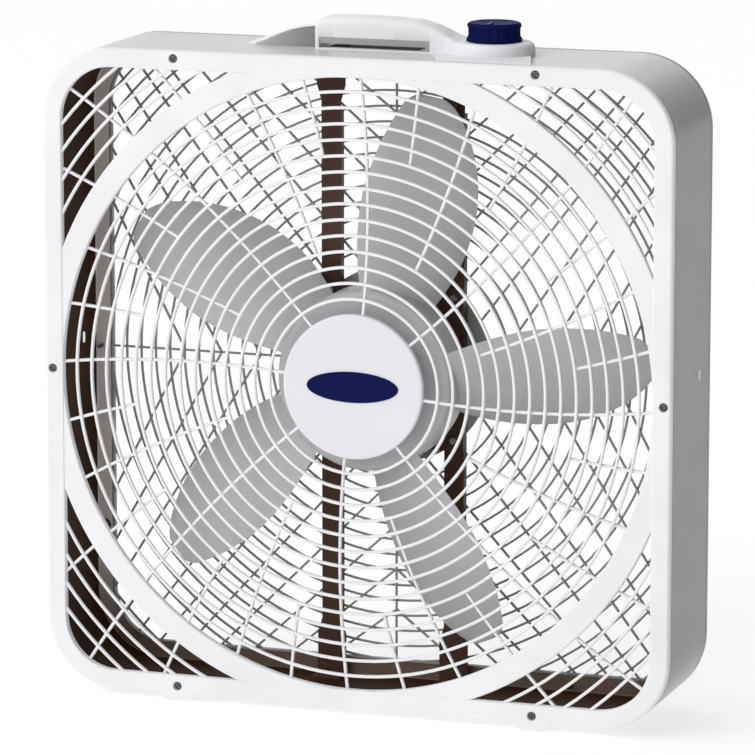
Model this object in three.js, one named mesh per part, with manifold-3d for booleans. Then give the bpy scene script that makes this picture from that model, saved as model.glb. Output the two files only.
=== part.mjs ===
// Twenty-inch box fan: steel band housing, moulded front and rear grilles, five-blade fan,
// induction motor on two steel struts, carry handle with a rotary speed switch.
// Millimetres. +X is the viewer's right, +Y runs from the front grille to the back, +Z is up.
// The origin is under the middle of the fan, at the height of the resting tabs.
import * as THREE from "three";
import { mergeVertices } from "three/addons/utils/BufferGeometryUtils.js";
import Module from "manifold-3d";

const wasm = await Module();
wasm.setup();

// ---- main sizes -------------------------------------------------------------------------
const BODY_HALF = 260.35;
const BODY_CORNER_R = 58;
const HALF_DEPTH = 57.15;
const TAB_DROP = 5.6;
const CENTRE_Z = TAB_DROP + BODY_HALF;
const TOP_Z = CENTRE_Z + BODY_HALF;

const FRAME_THICK = 6;
const FRAME_WIDTH = 15.5;
const SHELL_HALF_DEPTH = HALF_DEPTH - FRAME_THICK;
const SHELL_WALL = 1.2;
const FLANGE_WIDTH = 14;

const CAP_R = 58;
const REAR_CAP_R = 80;
const RING_FIRST_R = 70;
const RING_PITCH = 12.6;
const RING_COUNT = 14;
const BAR = 2.5;
const REAR_BAR = 1.8;
const FACE_SETBACK = 1.5;
const RING_DEPTH = 2.2;
const LAYER_GAP = 0.3;
const CROSSBAR_DEPTH = 1.8;
const BAND_INNER_R = 245;
const BAND_OUTER_R = 264;
const CORNER_ARC_FIRST_R = 275.5;
const CORNER_ARC_PITCH = 13;

const SCREW_TOP_X = 149;
const SCREW_SIDE_X = 254;
const SCREW_EDGE = 6.5;

const STRUT_X = 52;
const STRUT_WIDTH = 16.5;
const STRUT_HEAD_WIDTH = 24;
const STRUT_FRONT_Y = 42;
const STRUT_BACK_Y = 49.6;
const STRUT_SHEET = 1.2;

const KNOB_X = 98;
const KNOB_R = 21.6;
const POD_HEIGHT = 10.8;
const GLAND = { r: 4.5, flangeR: 6.3, x: -252.4, z: -150 };
const DEG = Math.PI / 180;

// ---- colours ----------------------------------------------------------------------------
const COLOURS = {
  white: 0xeeeef3, steel: 0xc8c8c6, blade: 0xa9a9ab, dark: 0x3a2e28, zinc: 0xa8a9aa,
  copper: 0xa8642f, black: 0x26262a, navy: 0x14165f, bronze: 0x9a7b4a,
};

function material(name, roughness = 0.5, metalness = 0) {
  return new THREE.MeshStandardMaterial({ color: COLOURS[name], roughness, metalness });
}

// ---- boolean helpers --------------------------------------------------------------------
function solid(geometry) {
  const bare = geometry.clone();
  bare.deleteAttribute("normal");
  bare.deleteAttribute("uv");
  const merged = mergeVertices(bare, 1e-4);
  const body = new wasm.Manifold(new wasm.Mesh({
    numProp: 3,
    vertProperties: new Float32Array(merged.attributes.position.array),
    triVerts: new Uint32Array(merged.index.array),
  }));
  return body.volume() >= 0 ? body : new wasm.Manifold(flipped(merged));
}

function flipped(merged) {
  const index = new Uint32Array(merged.index.array);
  for (let i = 0; i < index.length; i += 3) {
    [index[i], index[i + 1]] = [index[i + 1], index[i]];
  }
  const vertProperties = new Float32Array(merged.attributes.position.array);
  return new wasm.Mesh({ numProp: 3, vertProperties, triVerts: index });
}

function geometryOf(body) {
  const mesh = body.getMesh();
  const geometry = new THREE.BufferGeometry();
  geometry.setAttribute("position", new THREE.BufferAttribute(mesh.vertProperties, 3));
  geometry.setIndex(new THREE.BufferAttribute(mesh.triVerts, 1));
  const flat = geometry.toNonIndexed();
  flat.computeVertexNormals();
  return flat;
}

const join = (...bodies) => wasm.Manifold.union(bodies.flat());
const cut = (body, ...tools) => body.subtract(join(...tools.flat()));
const common = (a, b) => a.intersect(b);

// ---- shape helpers ----------------------------------------------------------------------
// A flat outline in (x, z), measured from the fan axis, carried along Y from y0 to y1.
function prismY(points, y0, y1, centreZ = CENTRE_Z) {
  const shape = new THREE.Shape(points.map(([x, z]) => new THREE.Vector2(x, z)));
  const geometry = new THREE.ExtrudeGeometry(shape, { depth: y1 - y0, bevelEnabled: false });
  geometry.rotateX(Math.PI / 2);
  geometry.translate(0, y1, centreZ);
  return solid(geometry);
}

// A flat outline in (x, y) carried up from z0 to z1.
function prismZ(points, z0, z1) {
  const shape = new THREE.Shape(points.map(([x, y]) => new THREE.Vector2(x, y)));
  const geometry = new THREE.ExtrudeGeometry(shape, { depth: z1 - z0, bevelEnabled: false });
  geometry.translate(0, 0, z0);
  return solid(geometry);
}

// A flat outline in (y, z) carried along X from x0 to x1.
function prismX(points, x0, x1) {
  const shape = new THREE.Shape(points.map(([y, z]) => new THREE.Vector2(y, z)));
  const geometry = new THREE.ExtrudeGeometry(shape, { depth: x1 - x0, bevelEnabled: false });
  geometry.rotateY(Math.PI / 2);
  geometry.rotateX(Math.PI / 2);
  geometry.translate(x0, 0, 0);
  return solid(geometry);
}

function box(x0, x1, y0, y1, z0, z1) {
  const geometry = new THREE.BoxGeometry(x1 - x0, y1 - y0, z1 - z0);
  geometry.translate((x0 + x1) / 2, (y0 + y1) / 2, (z0 + z1) / 2);
  return solid(geometry);
}

// A turned body: profile points are (radius, position along the axis).
function turned(profile, segments = 32) {
  return new THREE.LatheGeometry(profile.map(([r, a]) => new THREE.Vector2(r, a)), segments);
}

function turnedY(profile, x, z, segments) {
  const geometry = turned(profile, segments);
  geometry.translate(x, 0, z);
  return solid(geometry);
}

function turnedZ(profile, x, y, segments) {
  const geometry = turned(profile, segments);
  geometry.rotateX(Math.PI / 2);
  geometry.translate(x, y, 0);
  return solid(geometry);
}

function rodY(radius, y0, y1, x, z, segments = 16) {
  return turnedY([[0, y0], [radius, y0], [radius, y1], [0, y1]], x, z, segments);
}

function rodZ(radius, z0, z1, x, y, segments = 16) {
  return turnedZ([[0, z0], [radius, z0], [radius, z1], [0, z1]], x, y, segments);
}

function sleeveY(inner, outer, y0, y1, x, z, segments = 24) {
  const profile = [[inner, y0], [outer, y0], [outer, y1], [inner, y1], [inner, y0]];
  return turnedY(profile, x, z, segments);
}

function roundedSquare(half, radius, steps = 5) {
  const points = [];
  for (const [sx, sz, start] of [[1, 1, 0], [-1, 1, 90], [-1, -1, 180], [1, -1, 270]]) {
    for (let i = 0; i <= steps; i += 1) {
      const a = (start + (90 * i) / steps) * DEG;
      points.push([sx * (half - radius) + radius * Math.cos(a),
        sz * (half - radius) + radius * Math.sin(a)]);
    }
  }
  return points;
}

function circle(radius, segments, x = 0, z = 0) {
  const points = [];
  for (let i = 0; i < segments; i += 1) {
    const a = (i / segments) * 2 * Math.PI;
    points.push([x + radius * Math.cos(a), z + radius * Math.sin(a)]);
  }
  return points;
}

// The outline of a bar of even width that follows a line of points.
function barOutline(line, width) {
  const side = (sign) => line.map(([x, z], i) => {
    const [ax, az] = line[Math.max(i - 1, 0)];
    const [bx, bz] = line[Math.min(i + 1, line.length - 1)];
    const length = Math.hypot(bx - ax, bz - az);
    return [x - (sign * (bz - az) * width) / (2 * length),
      z + (sign * (bx - ax) * width) / (2 * length)];
  });
  return [...side(-1), ...side(1).reverse()];
}

// ---- housing ----------------------------------------------------------------------------
function squareRing(half, radius, width, y0, y1) {
  const outer = prismY(roundedSquare(half, radius), y0, y1);
  const inner = prismY(roundedSquare(half - width, Math.max(radius - width, 4)), y0 - 1, y1 + 1);
  return cut(outer, inner);
}

// The six screws of a grille: two above, two below, one at each side.
function grilleScrewSites() {
  const edge = BODY_HALF - SCREW_EDGE;
  return {
    tl: [-SCREW_TOP_X, edge], tr: [SCREW_TOP_X, edge],
    l: [-SCREW_SIDE_X, 0], r: [SCREW_SIDE_X, 0],
    bl: [-SCREW_TOP_X, -edge], br: [SCREW_TOP_X, -edge],
  };
}

// The finger well under the handle bar, between the two motor struts.
const WELL = { x0: -38, x1: 38, y0: -6, y1: 44, depth: 14, wall: 1.6, rim: 3 };

function housingShell() {
  const wall = squareRing(BODY_HALF, BODY_CORNER_R, SHELL_WALL, -SHELL_HALF_DEPTH, SHELL_HALF_DEPTH);
  const front = squareRing(BODY_HALF - 0.4, BODY_CORNER_R - 0.4, FLANGE_WIDTH,
    -SHELL_HALF_DEPTH, -SHELL_HALF_DEPTH + SHELL_WALL);
  const back = squareRing(BODY_HALF - 0.4, BODY_CORNER_R - 0.4, FLANGE_WIDTH,
    SHELL_HALF_DEPTH - SHELL_WALL, SHELL_HALF_DEPTH);
  const holes = Object.values(grilleScrewSites()).map(([x, z]) =>
    rodY(1.9, -SHELL_HALF_DEPTH - 2, SHELL_HALF_DEPTH + 2, x, CENTRE_Z + z, 6));
  const wellHole = box(WELL.x0 - WELL.wall - 0.2, WELL.x1 + WELL.wall + 0.2,
    WELL.y0 - WELL.wall - 0.2, WELL.y1 + WELL.wall + 0.2, TOP_Z - 5, TOP_Z + 5);
  const switchHole = rodZ(6.2, TOP_Z - 5, TOP_Z + 5, KNOB_X, 0, 16);
  const slots = [-1, 1].map((side) => box(side * BODY_HALF - 3, side * BODY_HALF + 3,
    21, 25.5, CENTRE_Z + 6.5, CENTRE_Z + 15.5));
  const glandHole = rodY(GLAND.r + 0.2, 40, SHELL_HALF_DEPTH + 2, GLAND.x, CENTRE_Z + GLAND.z, 12);
  const feet = strutSites().map(([x, end]) => rodZ(1.9, end > 0 ? TOP_Z - 4 : TAB_DROP - 4,
    end > 0 ? TOP_Z + 4 : TAB_DROP + 4, x, STRUT_SCREW_Y, 8));
  return cut(join(wall, front, back), holes, wellHole, switchHole, slots, glandHole, feet);
}

// ---- grilles ----------------------------------------------------------------------------
// The grille bars lean round the axis as they run outward, a slow even spiral.
const LEAN_START = -9.5;
const LEAN_PER_MM = 0.0335;

function leaningBar(baseAngle, r0, r1, steps) {
  const line = [];
  for (let i = 0; i <= steps; i += 1) {
    const r = r0 + ((r1 - r0) * i) / steps;
    const a = (baseAngle + LEAN_START + LEAN_PER_MM * r) * DEG;
    line.push([r * Math.cos(a), r * Math.sin(a)]);
  }
  return line;
}

function ringBar(radius, y0, y1, segments, width = BAR) {
  return cut(prismY(circle(radius + width / 2, segments), y0, y1),
    prismY(circle(radius - width / 2, segments), y0 - 1, y1 + 1));
}

// Two half-round tabs under the frame carry the fan; each has a flat to stand on.
function restTabs(y0, y1) {
  return [-1, 1].map((side) => {
    const x = side * SCREW_TOP_X;
    const edge = -BODY_HALF;
    return prismY([[x - 17, edge + 1], [x - 15, edge - 2.2], [x - 11.5, edge - 4.4],
      [x - 7, edge - TAB_DROP], [x + 7, edge - TAB_DROP], [x + 11.5, edge - 4.4],
      [x + 15, edge - 2.2], [x + 17, edge + 1], [x + 17, edge + 8], [x - 17, edge + 8]], y0, y1);
  });
}

function grilleFrame(faceY, side) {
  const [y0, y1] = [faceY, faceY - side * FRAME_THICK].sort((a, b) => a - b);
  const ring = squareRing(BODY_HALF, BODY_CORNER_R, FRAME_WIDTH, y0, y1);
  return join(ring, restTabs(y0, y1));
}

function screwPockets(faceY, side) {
  const seat = faceY - side * 3;
  return Object.values(grilleScrewSites()).map(([x, z]) => join(
    rodY(3.6, Math.min(faceY + side, seat), Math.max(faceY + side, seat), x, CENTRE_Z + z, 8),
    rodY(1.9, Math.min(faceY, faceY - side * 8), Math.max(faceY, faceY - side * 8),
      x, CENTRE_Z + z, 6),
  ));
}

// Everything that must stay inside the frame ends half way across the frame width.
function insideFrame(body, y0, y1) {
  const half = BODY_HALF - FRAME_WIDTH / 2;
  return common(body, prismY(roundedSquare(half, BODY_CORNER_R - FRAME_WIDTH / 2), y0 - 2, y1 + 2));
}

// Depths of a grille's layers, measured inward from its face: the rings lie in front and the
// crossbars just behind them; stay rings and stay bars are deep enough to bind both layers.
const LAYERS = {
  ring: [FACE_SETBACK, FACE_SETBACK + RING_DEPTH],
  crossbar: [FACE_SETBACK + RING_DEPTH + LAYER_GAP,
    FACE_SETBACK + RING_DEPTH + LAYER_GAP + CROSSBAR_DEPTH],
  stay: [FACE_SETBACK, FACE_SETBACK + RING_DEPTH + LAYER_GAP + 0.6],
  plate: [FACE_SETBACK - 0.6, FACE_SETBACK + RING_DEPTH + LAYER_GAP + CROSSBAR_DEPTH],
};

// Front or back end positions of a layer; side is -1 for the front grille, +1 for the rear.
function layerY(layer, side) {
  return LAYERS[layer].map((depth) => side * (HALF_DEPTH - depth)).sort((a, b) => a - b);
}

const ringRadius = (k) => RING_FIRST_R + k * RING_PITCH;

function ringSegments(k) {
  if (k < 3) return 16;
  return k < 9 ? 24 : 32;
}

function spokeStart(k) {
  if (k % 4 === 0) return CAP_R - 1;
  return k % 2 === 0 ? ringRadius(3) : ringRadius(9);
}

function frontSpoke(k) {
  const line = leaningBar(k * 11.25, spokeStart(k), BAND_INNER_R + 1, k % 4 === 0 ? 3 : 2);
  const layer = k % 8 === 0 ? "ring" : "crossbar";
  return prismY(barOutline(line, BAR), ...layerY(layer, -1));
}

function frontCorner(k) {
  return [-11.25, 0, 11.25].map((offset) => {
    const line = leaningBar(45 + 90 * k + offset, BAND_OUTER_R - 1, 345, 2);
    return prismY(barOutline(line, BAR), ...layerY("crossbar", -1));
  });
}

function frontGrille() {
  const bars = [rodY(CAP_R, ...layerY("plate", -1), 0, CENTRE_Z, 40)];
  for (let k = 0; k < RING_COUNT; k += 1) {
    const layer = k === 3 || k === 9 ? "stay" : "ring";
    bars.push(ringBar(ringRadius(k), ...layerY(layer, -1), ringSegments(k)));
  }
  for (let k = 0; k < 32; k += 1) bars.push(frontSpoke(k));
  const [y0, y1] = layerY("plate", -1);
  bars.push(cut(prismY(circle(BAND_OUTER_R, 56), y0, y1),
    prismY(circle(BAND_INNER_R, 56), y0 - 3, y1 + 3)));
  for (let k = 0; k < 4; k += 1) {
    bars.push(ringBar(CORNER_ARC_FIRST_R + k * CORNER_ARC_PITCH, ...layerY("ring", -1), 48));
    bars.push(...frontCorner(k));
  }
  const field = insideFrame(join(bars), y0, y1);
  return cut(join(field, grilleFrame(-HALF_DEPTH, -1)), screwPockets(-HALF_DEPTH, -1));
}

// The rear bars run nearly side by side in each quarter, closing slowly towards a far point.
const REAR_FAR_R = 750;
const REAR_FAR_ANGLE = 50;
const REAR_BAR_STEP = 33;

function rearQuarterBars(y0, y1) {
  const along = [Math.cos(REAR_FAR_ANGLE * DEG), Math.sin(REAR_FAR_ANGLE * DEG)];
  const far = [along[0] * REAR_FAR_R, along[1] * REAR_FAR_R];
  const bars = [];
  for (let k = -5; k <= 5; k += 1) {
    const near = [-along[1] * k * REAR_BAR_STEP, along[0] * k * REAR_BAR_STEP];
    const at = (t) => [near[0] + (far[0] - near[0]) * t, near[1] + (far[1] - near[1]) * t];
    bars.push(prismY(barOutline([at(-0.3), at(0.6)], REAR_BAR), y0, y1));
  }
  const limit = BODY_HALF + 5;
  const quarter = box(0, limit, y0 - 1, y1 + 1, CENTRE_Z, CENTRE_Z + limit);
  const core = rodY(REAR_CAP_R - 1, y0 - 2, y1 + 2, 0, CENTRE_Z, 40);
  return cut(common(join(bars), quarter), core);
}

function mirrored(body, sx, sz) {
  let result = body.translate([0, 0, -CENTRE_Z]);
  if (sx < 0) result = result.mirror([1, 0, 0]);
  if (sz < 0) result = result.mirror([0, 0, 1]);
  return result.translate([0, 0, CENTRE_Z]);
}

function rearGrille() {
  const [y0, y1] = layerY("plate", 1);
  const bars = [rodY(REAR_CAP_R, y0, y1, 0, CENTRE_Z, 40)];
  for (let k = 2; k < 21; k += 1) {
    const segments = k < RING_COUNT ? ringSegments(k) : 48;
    bars.push(ringBar(ringRadius(k), ...layerY("ring", 1), segments, REAR_BAR));
  }
  const half = REAR_BAR / 2;
  bars.push(box(-BODY_HALF, BODY_HALF, y0, y1 - 0.6, CENTRE_Z - half, CENTRE_Z + half));
  bars.push(box(-half, half, y0, y1 - 0.6, CENTRE_Z - BODY_HALF, CENTRE_Z + BODY_HALF));
  const quarter = rearQuarterBars(...layerY("crossbar", 1));
  for (const [sx, sz] of [[1, 1], [-1, 1], [-1, -1], [1, -1]]) {
    bars.push(mirrored(quarter, sx, sz));
  }
  const field = insideFrame(join(bars), y0, y1);
  return cut(join(field, grilleFrame(HALF_DEPTH, 1)), screwPockets(HALF_DEPTH, 1), glandPocket());
}

function grilleScrew(side, x, z) {
  const seat = side * (HALF_DEPTH - 3);
  const head = seat + side * 1.9;
  const tip = seat - side * 14;
  const profile = [[0, head], [2.4, head], [3.2, head - side * 0.8], [3.2, seat], [1.6, seat],
    [1.6, tip + side * 2], [0, tip]];
  return turnedY(profile, x, CENTRE_Z + z, 8);
}

// ---- handle and control moulding --------------------------------------------------------
// A low ramp climbs to the carry bar; the bar bridges the finger well and ends in the oval pod
// under the speed knob. The bar is an upturned channel: a narrow slit under its front skirt, a
// wide way in for the fingers under its back one. A thin base plate spreads out under the pod.
const HANDLE = { tipX: -108, rampX: -46, rampY0: 0, rampY1: 12, barX1: 53, barY0: -13, barY1: 14,
  top: 26.4, slit: 4.6, backGap: 10, openX0: -43, openX1: 49 };
const POD = { x: 97.5, y: 0, halfX: 33, halfY: 28 };
const BASE = { frontX0: 68, frontX1: 144, backX0: 60, backX1: 112, thick: 1.6 };

function handleOutline() {
  const points = [[HANDLE.tipX, 5], [HANDLE.tipX + 3, 1.6], [HANDLE.tipX + 9, HANDLE.rampY0],
    [HANDLE.rampX, HANDLE.rampY0], [HANDLE.rampX, HANDLE.barY0], [HANDLE.barX1, HANDLE.barY0],
    [62, -14.5]];
  for (let a = 236; a <= 484; a += 15.5) {
    points.push([POD.x + POD.halfX * Math.cos(a * DEG), POD.y + POD.halfY * Math.sin(a * DEG)]);
  }
  points.push([62, 15], [HANDLE.barX1, HANDLE.barY1], [HANDLE.rampX, HANDLE.barY1],
    [HANDLE.rampX, HANDLE.rampY1], [HANDLE.tipX + 9, HANDLE.rampY1], [HANDLE.tipX + 3, 9]);
  return points;
}

function handleSide() {
  return [[HANDLE.tipX, 0], [HANDLE.tipX, 0.8], [-104, 2.4], [-97, 5], [-88, 8.6], [-79, 12],
    [-70, 14.7], [-60, 16.6], [HANDLE.rampX - 0.3, 18], [HANDLE.rampX - 0.2, 21.5], [-44, 24],
    [-39, 25.4], [-22, 26.2], [-4, HANDLE.top], [16, 26], [38, 24.6], [50, 21.6], [59, 17.6],
    [66, 13.6], [73, 11.1], [79, POD_HEIGHT], [140, POD_HEIGHT], [140, 0]];
}

// The base plate narrows towards the back, clear of the strut screw beside it.
function basePlate() {
  const edge = SHELL_HALF_DEPTH - 0.5;
  return prismZ([[BASE.frontX0, -edge], [BASE.frontX1, -edge], [BASE.backX1, edge],
    [BASE.backX0, edge], [BASE.backX0, -10], [HANDLE.barX1, -10], [HANDLE.barX1, HANDLE.barY0]],
  TOP_Z, TOP_Z + BASE.thick);
}

// The spaces cut out from under the bar.
function barOpenings() {
  const { openX0, openX1, slit, backGap } = HANDLE;
  const floor = TOP_Z + 1.4;
  const inside = prismX([[-8.8, floor], [11, floor], [11, TOP_Z + 15.5], [8, TOP_Z + 18.3],
    [-6, TOP_Z + 18.3], [-8.8, TOP_Z + 15.5]], openX0, openX1);
  const front = box(openX0, openX1, -30, -8, floor, TOP_Z + slit);
  const back = box(openX0, openX1, 10, 60, floor, TOP_Z + backGap);
  const frontEdge = prismX([[-18, TOP_Z + slit - 0.3], [-18, TOP_Z + 10.8], [HANDLE.barY0, TOP_Z + 10.8],
    [-10.7, TOP_Z + slit - 0.3]], openX0, openX1);
  const backEdge = prismX([[20, TOP_Z + backGap - 0.3], [12.2, TOP_Z + backGap - 0.3],
    [HANDLE.barY1, TOP_Z + 12.6], [20, TOP_Z + 12.6]], openX0, openX1);
  return [inside, front, back, frontEdge, backEdge];
}

function handleHousing() {
  const body = common(prismZ(handleOutline(), TOP_Z, TOP_Z + 30), prismY(handleSide(), -60, 60, TOP_Z));
  const rim = box(HANDLE.rampX, BASE.backX0, WELL.y0 - WELL.rim, HANDLE.barY1, TOP_Z, TOP_Z + 1.4);
  const rimBack = box(WELL.x0 - WELL.rim, WELL.x1 + WELL.rim, WELL.y0, WELL.y1 + WELL.rim,
    TOP_Z, TOP_Z + 1.4);
  const tub = box(WELL.x0 - WELL.wall, WELL.x1 + WELL.wall, WELL.y0 - WELL.wall, WELL.y1 + WELL.wall,
    TOP_Z - WELL.depth - WELL.wall, TOP_Z + 1);
  const hollow = box(WELL.x0, WELL.x1, WELL.y0, WELL.y1, TOP_Z - WELL.depth, TOP_Z + 3);
  const shaftHole = rodZ(6.2, TOP_Z - 5, TOP_Z + 30, KNOB_X, 0, 16);
  const nutRecess = rodZ(9, TOP_Z - 1, TOP_Z + 4, KNOB_X, 0, 16);
  return cut(join(body, basePlate(), rim, rimBack, tub), hollow, barOpenings(), shaftHole, nutRecess);
}

function speedKnob() {
  const z0 = TOP_Z + POD_HEIGHT + 0.6;
  const z1 = z0 + 14.4;
  const flutes = 18;
  const outline = [];
  for (let i = 0; i < flutes; i += 1) {
    for (const [step, r] of [[0, KNOB_R], [0.35, KNOB_R], [0.5, KNOB_R - 1.3], [0.85, KNOB_R - 1.3]]) {
      const a = ((i + step) / flutes) * 2 * Math.PI;
      outline.push([KNOB_X + r * Math.cos(a), r * Math.sin(a)]);
    }
  }
  const grip = prismZ(outline, z0 + 1.6, z1 - 1.4);
  const skirt = turnedZ([[0, z0], [KNOB_R + 0.3, z0], [KNOB_R + 0.3, z0 + 1.6], [0, z0 + 1.6]],
    KNOB_X, 0, 36);
  const top = turnedZ([[0, z1 - 1.4], [KNOB_R - 0.2, z1 - 1.4], [KNOB_R - 1.6, z1], [0, z1]],
    KNOB_X, 0, 36);
  const mark = box(KNOB_X - 1.1, KNOB_X + 1.1, -KNOB_R + 3, -6, z1 - 0.5, z1 + 0.4);
  const bore = common(rodZ(3.05, z0 - 1, z0 + 8, KNOB_X, 0, 16),
    box(KNOB_X - 4, KNOB_X + 4, -4, 1.55, z0 - 1, z0 + 8));
  return cut(join(grip, skirt, top, mark), bore);
}

const SWITCH = { top: TOP_Z - SHELL_WALL, height: 15, half: 14 };

function switchBody() {
  const z1 = SWITCH.top;
  const z0 = z1 - SWITCH.height;
  const block = box(KNOB_X - SWITCH.half, KNOB_X + SWITCH.half, -SWITCH.half, SWITCH.half, z0, z1);
  const neck = rodZ(6, z1 - 1, z1 + 7, KNOB_X, 0, 16);
  const terminals = [-9, -3, 3, 9].map((x) =>
    box(KNOB_X + x - 1.6, KNOB_X + x + 1.6, SWITCH.half - 1, SWITCH.half + 6, z0 + 4, z0 + 5));
  return cut(join(block, neck, terminals), rodZ(3.08, z1 - 12, z1 + 8, KNOB_X, 0, 16));
}

function switchShaft() {
  const z0 = SWITCH.top - 11;
  const z1 = TOP_Z + POD_HEIGHT + 8;
  const round = rodZ(3, z0, z1, KNOB_X, 0, 16);
  const flat = box(KNOB_X - 4, KNOB_X + 4, 1.5, 4, SWITCH.top + 8, z1 + 1);
  return cut(round, flat);
}

function switchNut() {
  const z0 = TOP_Z + 0.05;
  const hex = turnedZ([[0, z0], [8.2, z0], [8.2, z0 + 3], [0, z0 + 3]], KNOB_X, 0, 6);
  return cut(hex, rodZ(6.1, z0 - 1, z0 + 4, KNOB_X, 0, 16));
}

// ---- motor ------------------------------------------------------------------------------
const SHAFT_R = 4;
const MOTOR = { front: 4, coreFront: 14, coreBack: 30, back: 40, half: 45, bellR: 44 };
const BOLT = 37;

function cornersOf(d) {
  return [[-d, -d], [d, -d], [d, d], [-d, d]];
}

function boltHoles(y0, y1) {
  return cornersOf(BOLT).map(([x, z]) => rodY(2.3, y0, y1, x, CENTRE_Z + z, 6));
}

function motorBell(face, seat) {
  const side = Math.sign(seat - face);
  const inner = face + side * 2;
  const shellProfile = [[9.15, face - side * 3], [13, face - side * 3], [13, face], [38, face],
    [MOTOR.bellR, face + side * 5], [MOTOR.bellR, seat], [MOTOR.bellR - 2, seat],
    [MOTOR.bellR - 2, face + side * 6], [37, inner], [9.15, inner], [9.15, face - side * 3]];
  const dome = turnedY(shellProfile, 0, CENTRE_Z, 20);
  const [y0, y1] = [seat - side * 2, seat].sort((a, b) => a - b);
  const plate = cut(prismY(roundedSquare(MOTOR.half, 8, 3), y0, y1),
    rodY(MOTOR.bellR - 1, y0 - 1, y1 + 1, 0, CENTRE_Z, 20));
  return cut(join(dome, plate), boltHoles(y0 - 1, y1 + 1));
}

function statorCore() {
  const y0 = MOTOR.coreFront;
  const y1 = MOTOR.coreBack;
  const stack = prismY(roundedSquare(MOTOR.half, 8, 3), y0, y1);
  return cut(stack, rodY(27.2, y0 - 1, y1 + 1, 0, CENTRE_Z, 24), boltHoles(y0 - 1, y1 + 1));
}

function windingRing(y0, y1) {
  const mid = (y0 + y1) / 2;
  return turnedY([[29, mid], [31, y0], [39, y0], [41.3, mid], [39, y1], [31, y1], [29, mid]],
    0, CENTRE_Z, 20);
}

function motorRotor() {
  return sleeveY(SHAFT_R + 0.05, 26.4, 13, 31, 0, CENTRE_Z, 24);
}

function motorShaft() {
  const y0 = -35;
  const y1 = 41.5;
  return turnedY([[0, y0], [3.4, y0], [SHAFT_R, y0 + 0.8], [SHAFT_R, y1 - 0.8], [3.4, y1], [0, y1]],
    0, CENTRE_Z, 24);
}

function motorBearing(y0, y1) {
  return sleeveY(SHAFT_R + 0.06, 9, y0, y1, 0, CENTRE_Z, 24);
}

// Long bolts hold bells, core and brackets together; the head is at the front.
function motorBolt(x, z) {
  const seat = MOTOR.coreFront - 2;
  const end = STRUT_FRONT_Y + 6;
  return turnedY([[0, seat - 3], [3.6, seat - 3], [3.6, seat], [2, seat], [2, end], [0, end]],
    x, CENTRE_Z + z, 8);
}

function boltNut(x, z) {
  const y0 = STRUT_FRONT_Y + 0.05;
  return sleeveY(2.45, 3.9, y0, y0 + 3.2, x, CENTRE_Z + z, 6);
}

// ---- struts and brackets ----------------------------------------------------------------
const STRUT_SCREW_Y = 33;

function strutSites() {
  return [[-STRUT_X, 1], [STRUT_X, 1], [-STRUT_X, -1], [STRUT_X, -1]];
}

// A channel strut: its web widens near both ends into a head, and a foot turns forward there.
function motorStrut(x) {
  const half = STRUT_WIDTH / 2;
  const head = STRUT_HEAD_WIDTH / 2;
  const z0 = TAB_DROP + SHELL_WALL;
  const z1 = TOP_Z - SHELL_WALL;
  const end = BODY_HALF - SHELL_WALL;
  const right = [[head, -end], [head, -225], [half, -212], [half, 212], [head, 225], [head, end]];
  const left = right.map(([u, z]) => [-u, z]).reverse();
  const web = prismY([...right, ...left].map(([u, z]) => [x + u, z]),
    STRUT_FRONT_Y, STRUT_FRONT_Y + STRUT_SHEET);
  const sides = [-1, 1].map((s) => {
    const [x0, x1] = [x + s * half, x + s * (half - STRUT_SHEET)].sort((a, b) => a - b);
    return box(x0, x1, STRUT_FRONT_Y, STRUT_BACK_Y, z0 + 53, z1 - 53);
  });
  const feet = [[z0, z0 + 1.4], [z1 - 1.4, z1]].map(([a, b]) =>
    box(x - head, x + head, STRUT_FRONT_Y - 17, STRUT_FRONT_Y + STRUT_SHEET, a, b));
  const holes = [rodZ(1.9, z0 - 2, z0 + 4, x, STRUT_SCREW_Y, 8),
    rodZ(1.9, z1 - 4, z1 + 2, x, STRUT_SCREW_Y, 8),
    ...[-1, 1].map((s) => rodY(1.9, 40, 46, x, CENTRE_Z + s * BRACKET.screwZ, 8))];
  return cut(join(web, sides, feet), holes);
}

const BRACKET = { z0: 28, z1: 66, y0: MOTOR.back, screwZ: 58 };

// Each cross bracket spans the struts in front of their webs and clamps the motor's back bell.
function motorBracket(side) {
  const [z0, z1] = [side * BRACKET.z0, side * BRACKET.z1].sort((a, b) => a - b);
  const half = STRUT_X + STRUT_WIDTH / 2;
  const plate = box(-half, half, BRACKET.y0, STRUT_FRONT_Y, CENTRE_Z + z0, CENTRE_Z + z1);
  const lip = side > 0 ? [z1 - 1.6, z1] : [z0, z0 + 1.6];
  const edge = box(-34, 34, BRACKET.y0 - 6, STRUT_FRONT_Y, CENTRE_Z + lip[0], CENTRE_Z + lip[1]);
  const holes = [-1, 1].map((s) => rodY(2.2, 38, 44, s * BOLT, CENTRE_Z + side * BOLT, 8));
  const screws = [-1, 1].map((s) => rodY(1.9, 38, 44, s * STRUT_X, CENTRE_Z + side * BRACKET.screwZ, 8));
  return cut(join(plate, edge), holes, screws);
}

function bracketScrew(x, z) {
  const seat = BRACKET.y0;
  return turnedY([[0, seat - 2], [2.6, seat - 2], [3.4, seat - 1], [3.4, seat], [1.7, seat],
    [1.7, 47], [0, 47]], x, CENTRE_Z + z, 8);
}

function strutScrew(x, end) {
  const face = end > 0 ? TOP_Z : TAB_DROP;
  const sign = end;
  return turnedZ([[0, face + sign * 1.5], [2.4, face + sign * 1.5], [3.4, face + sign * 0.6],
    [3.4, face], [1.7, face], [1.7, face - sign * 8], [0, face - sign * 8]], x, STRUT_SCREW_Y, 8);
}

// ---- fan --------------------------------------------------------------------------------
const HUB = { r: 73, front: -30, back: 9, wall: 2.6, bossR: 11 };

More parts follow.
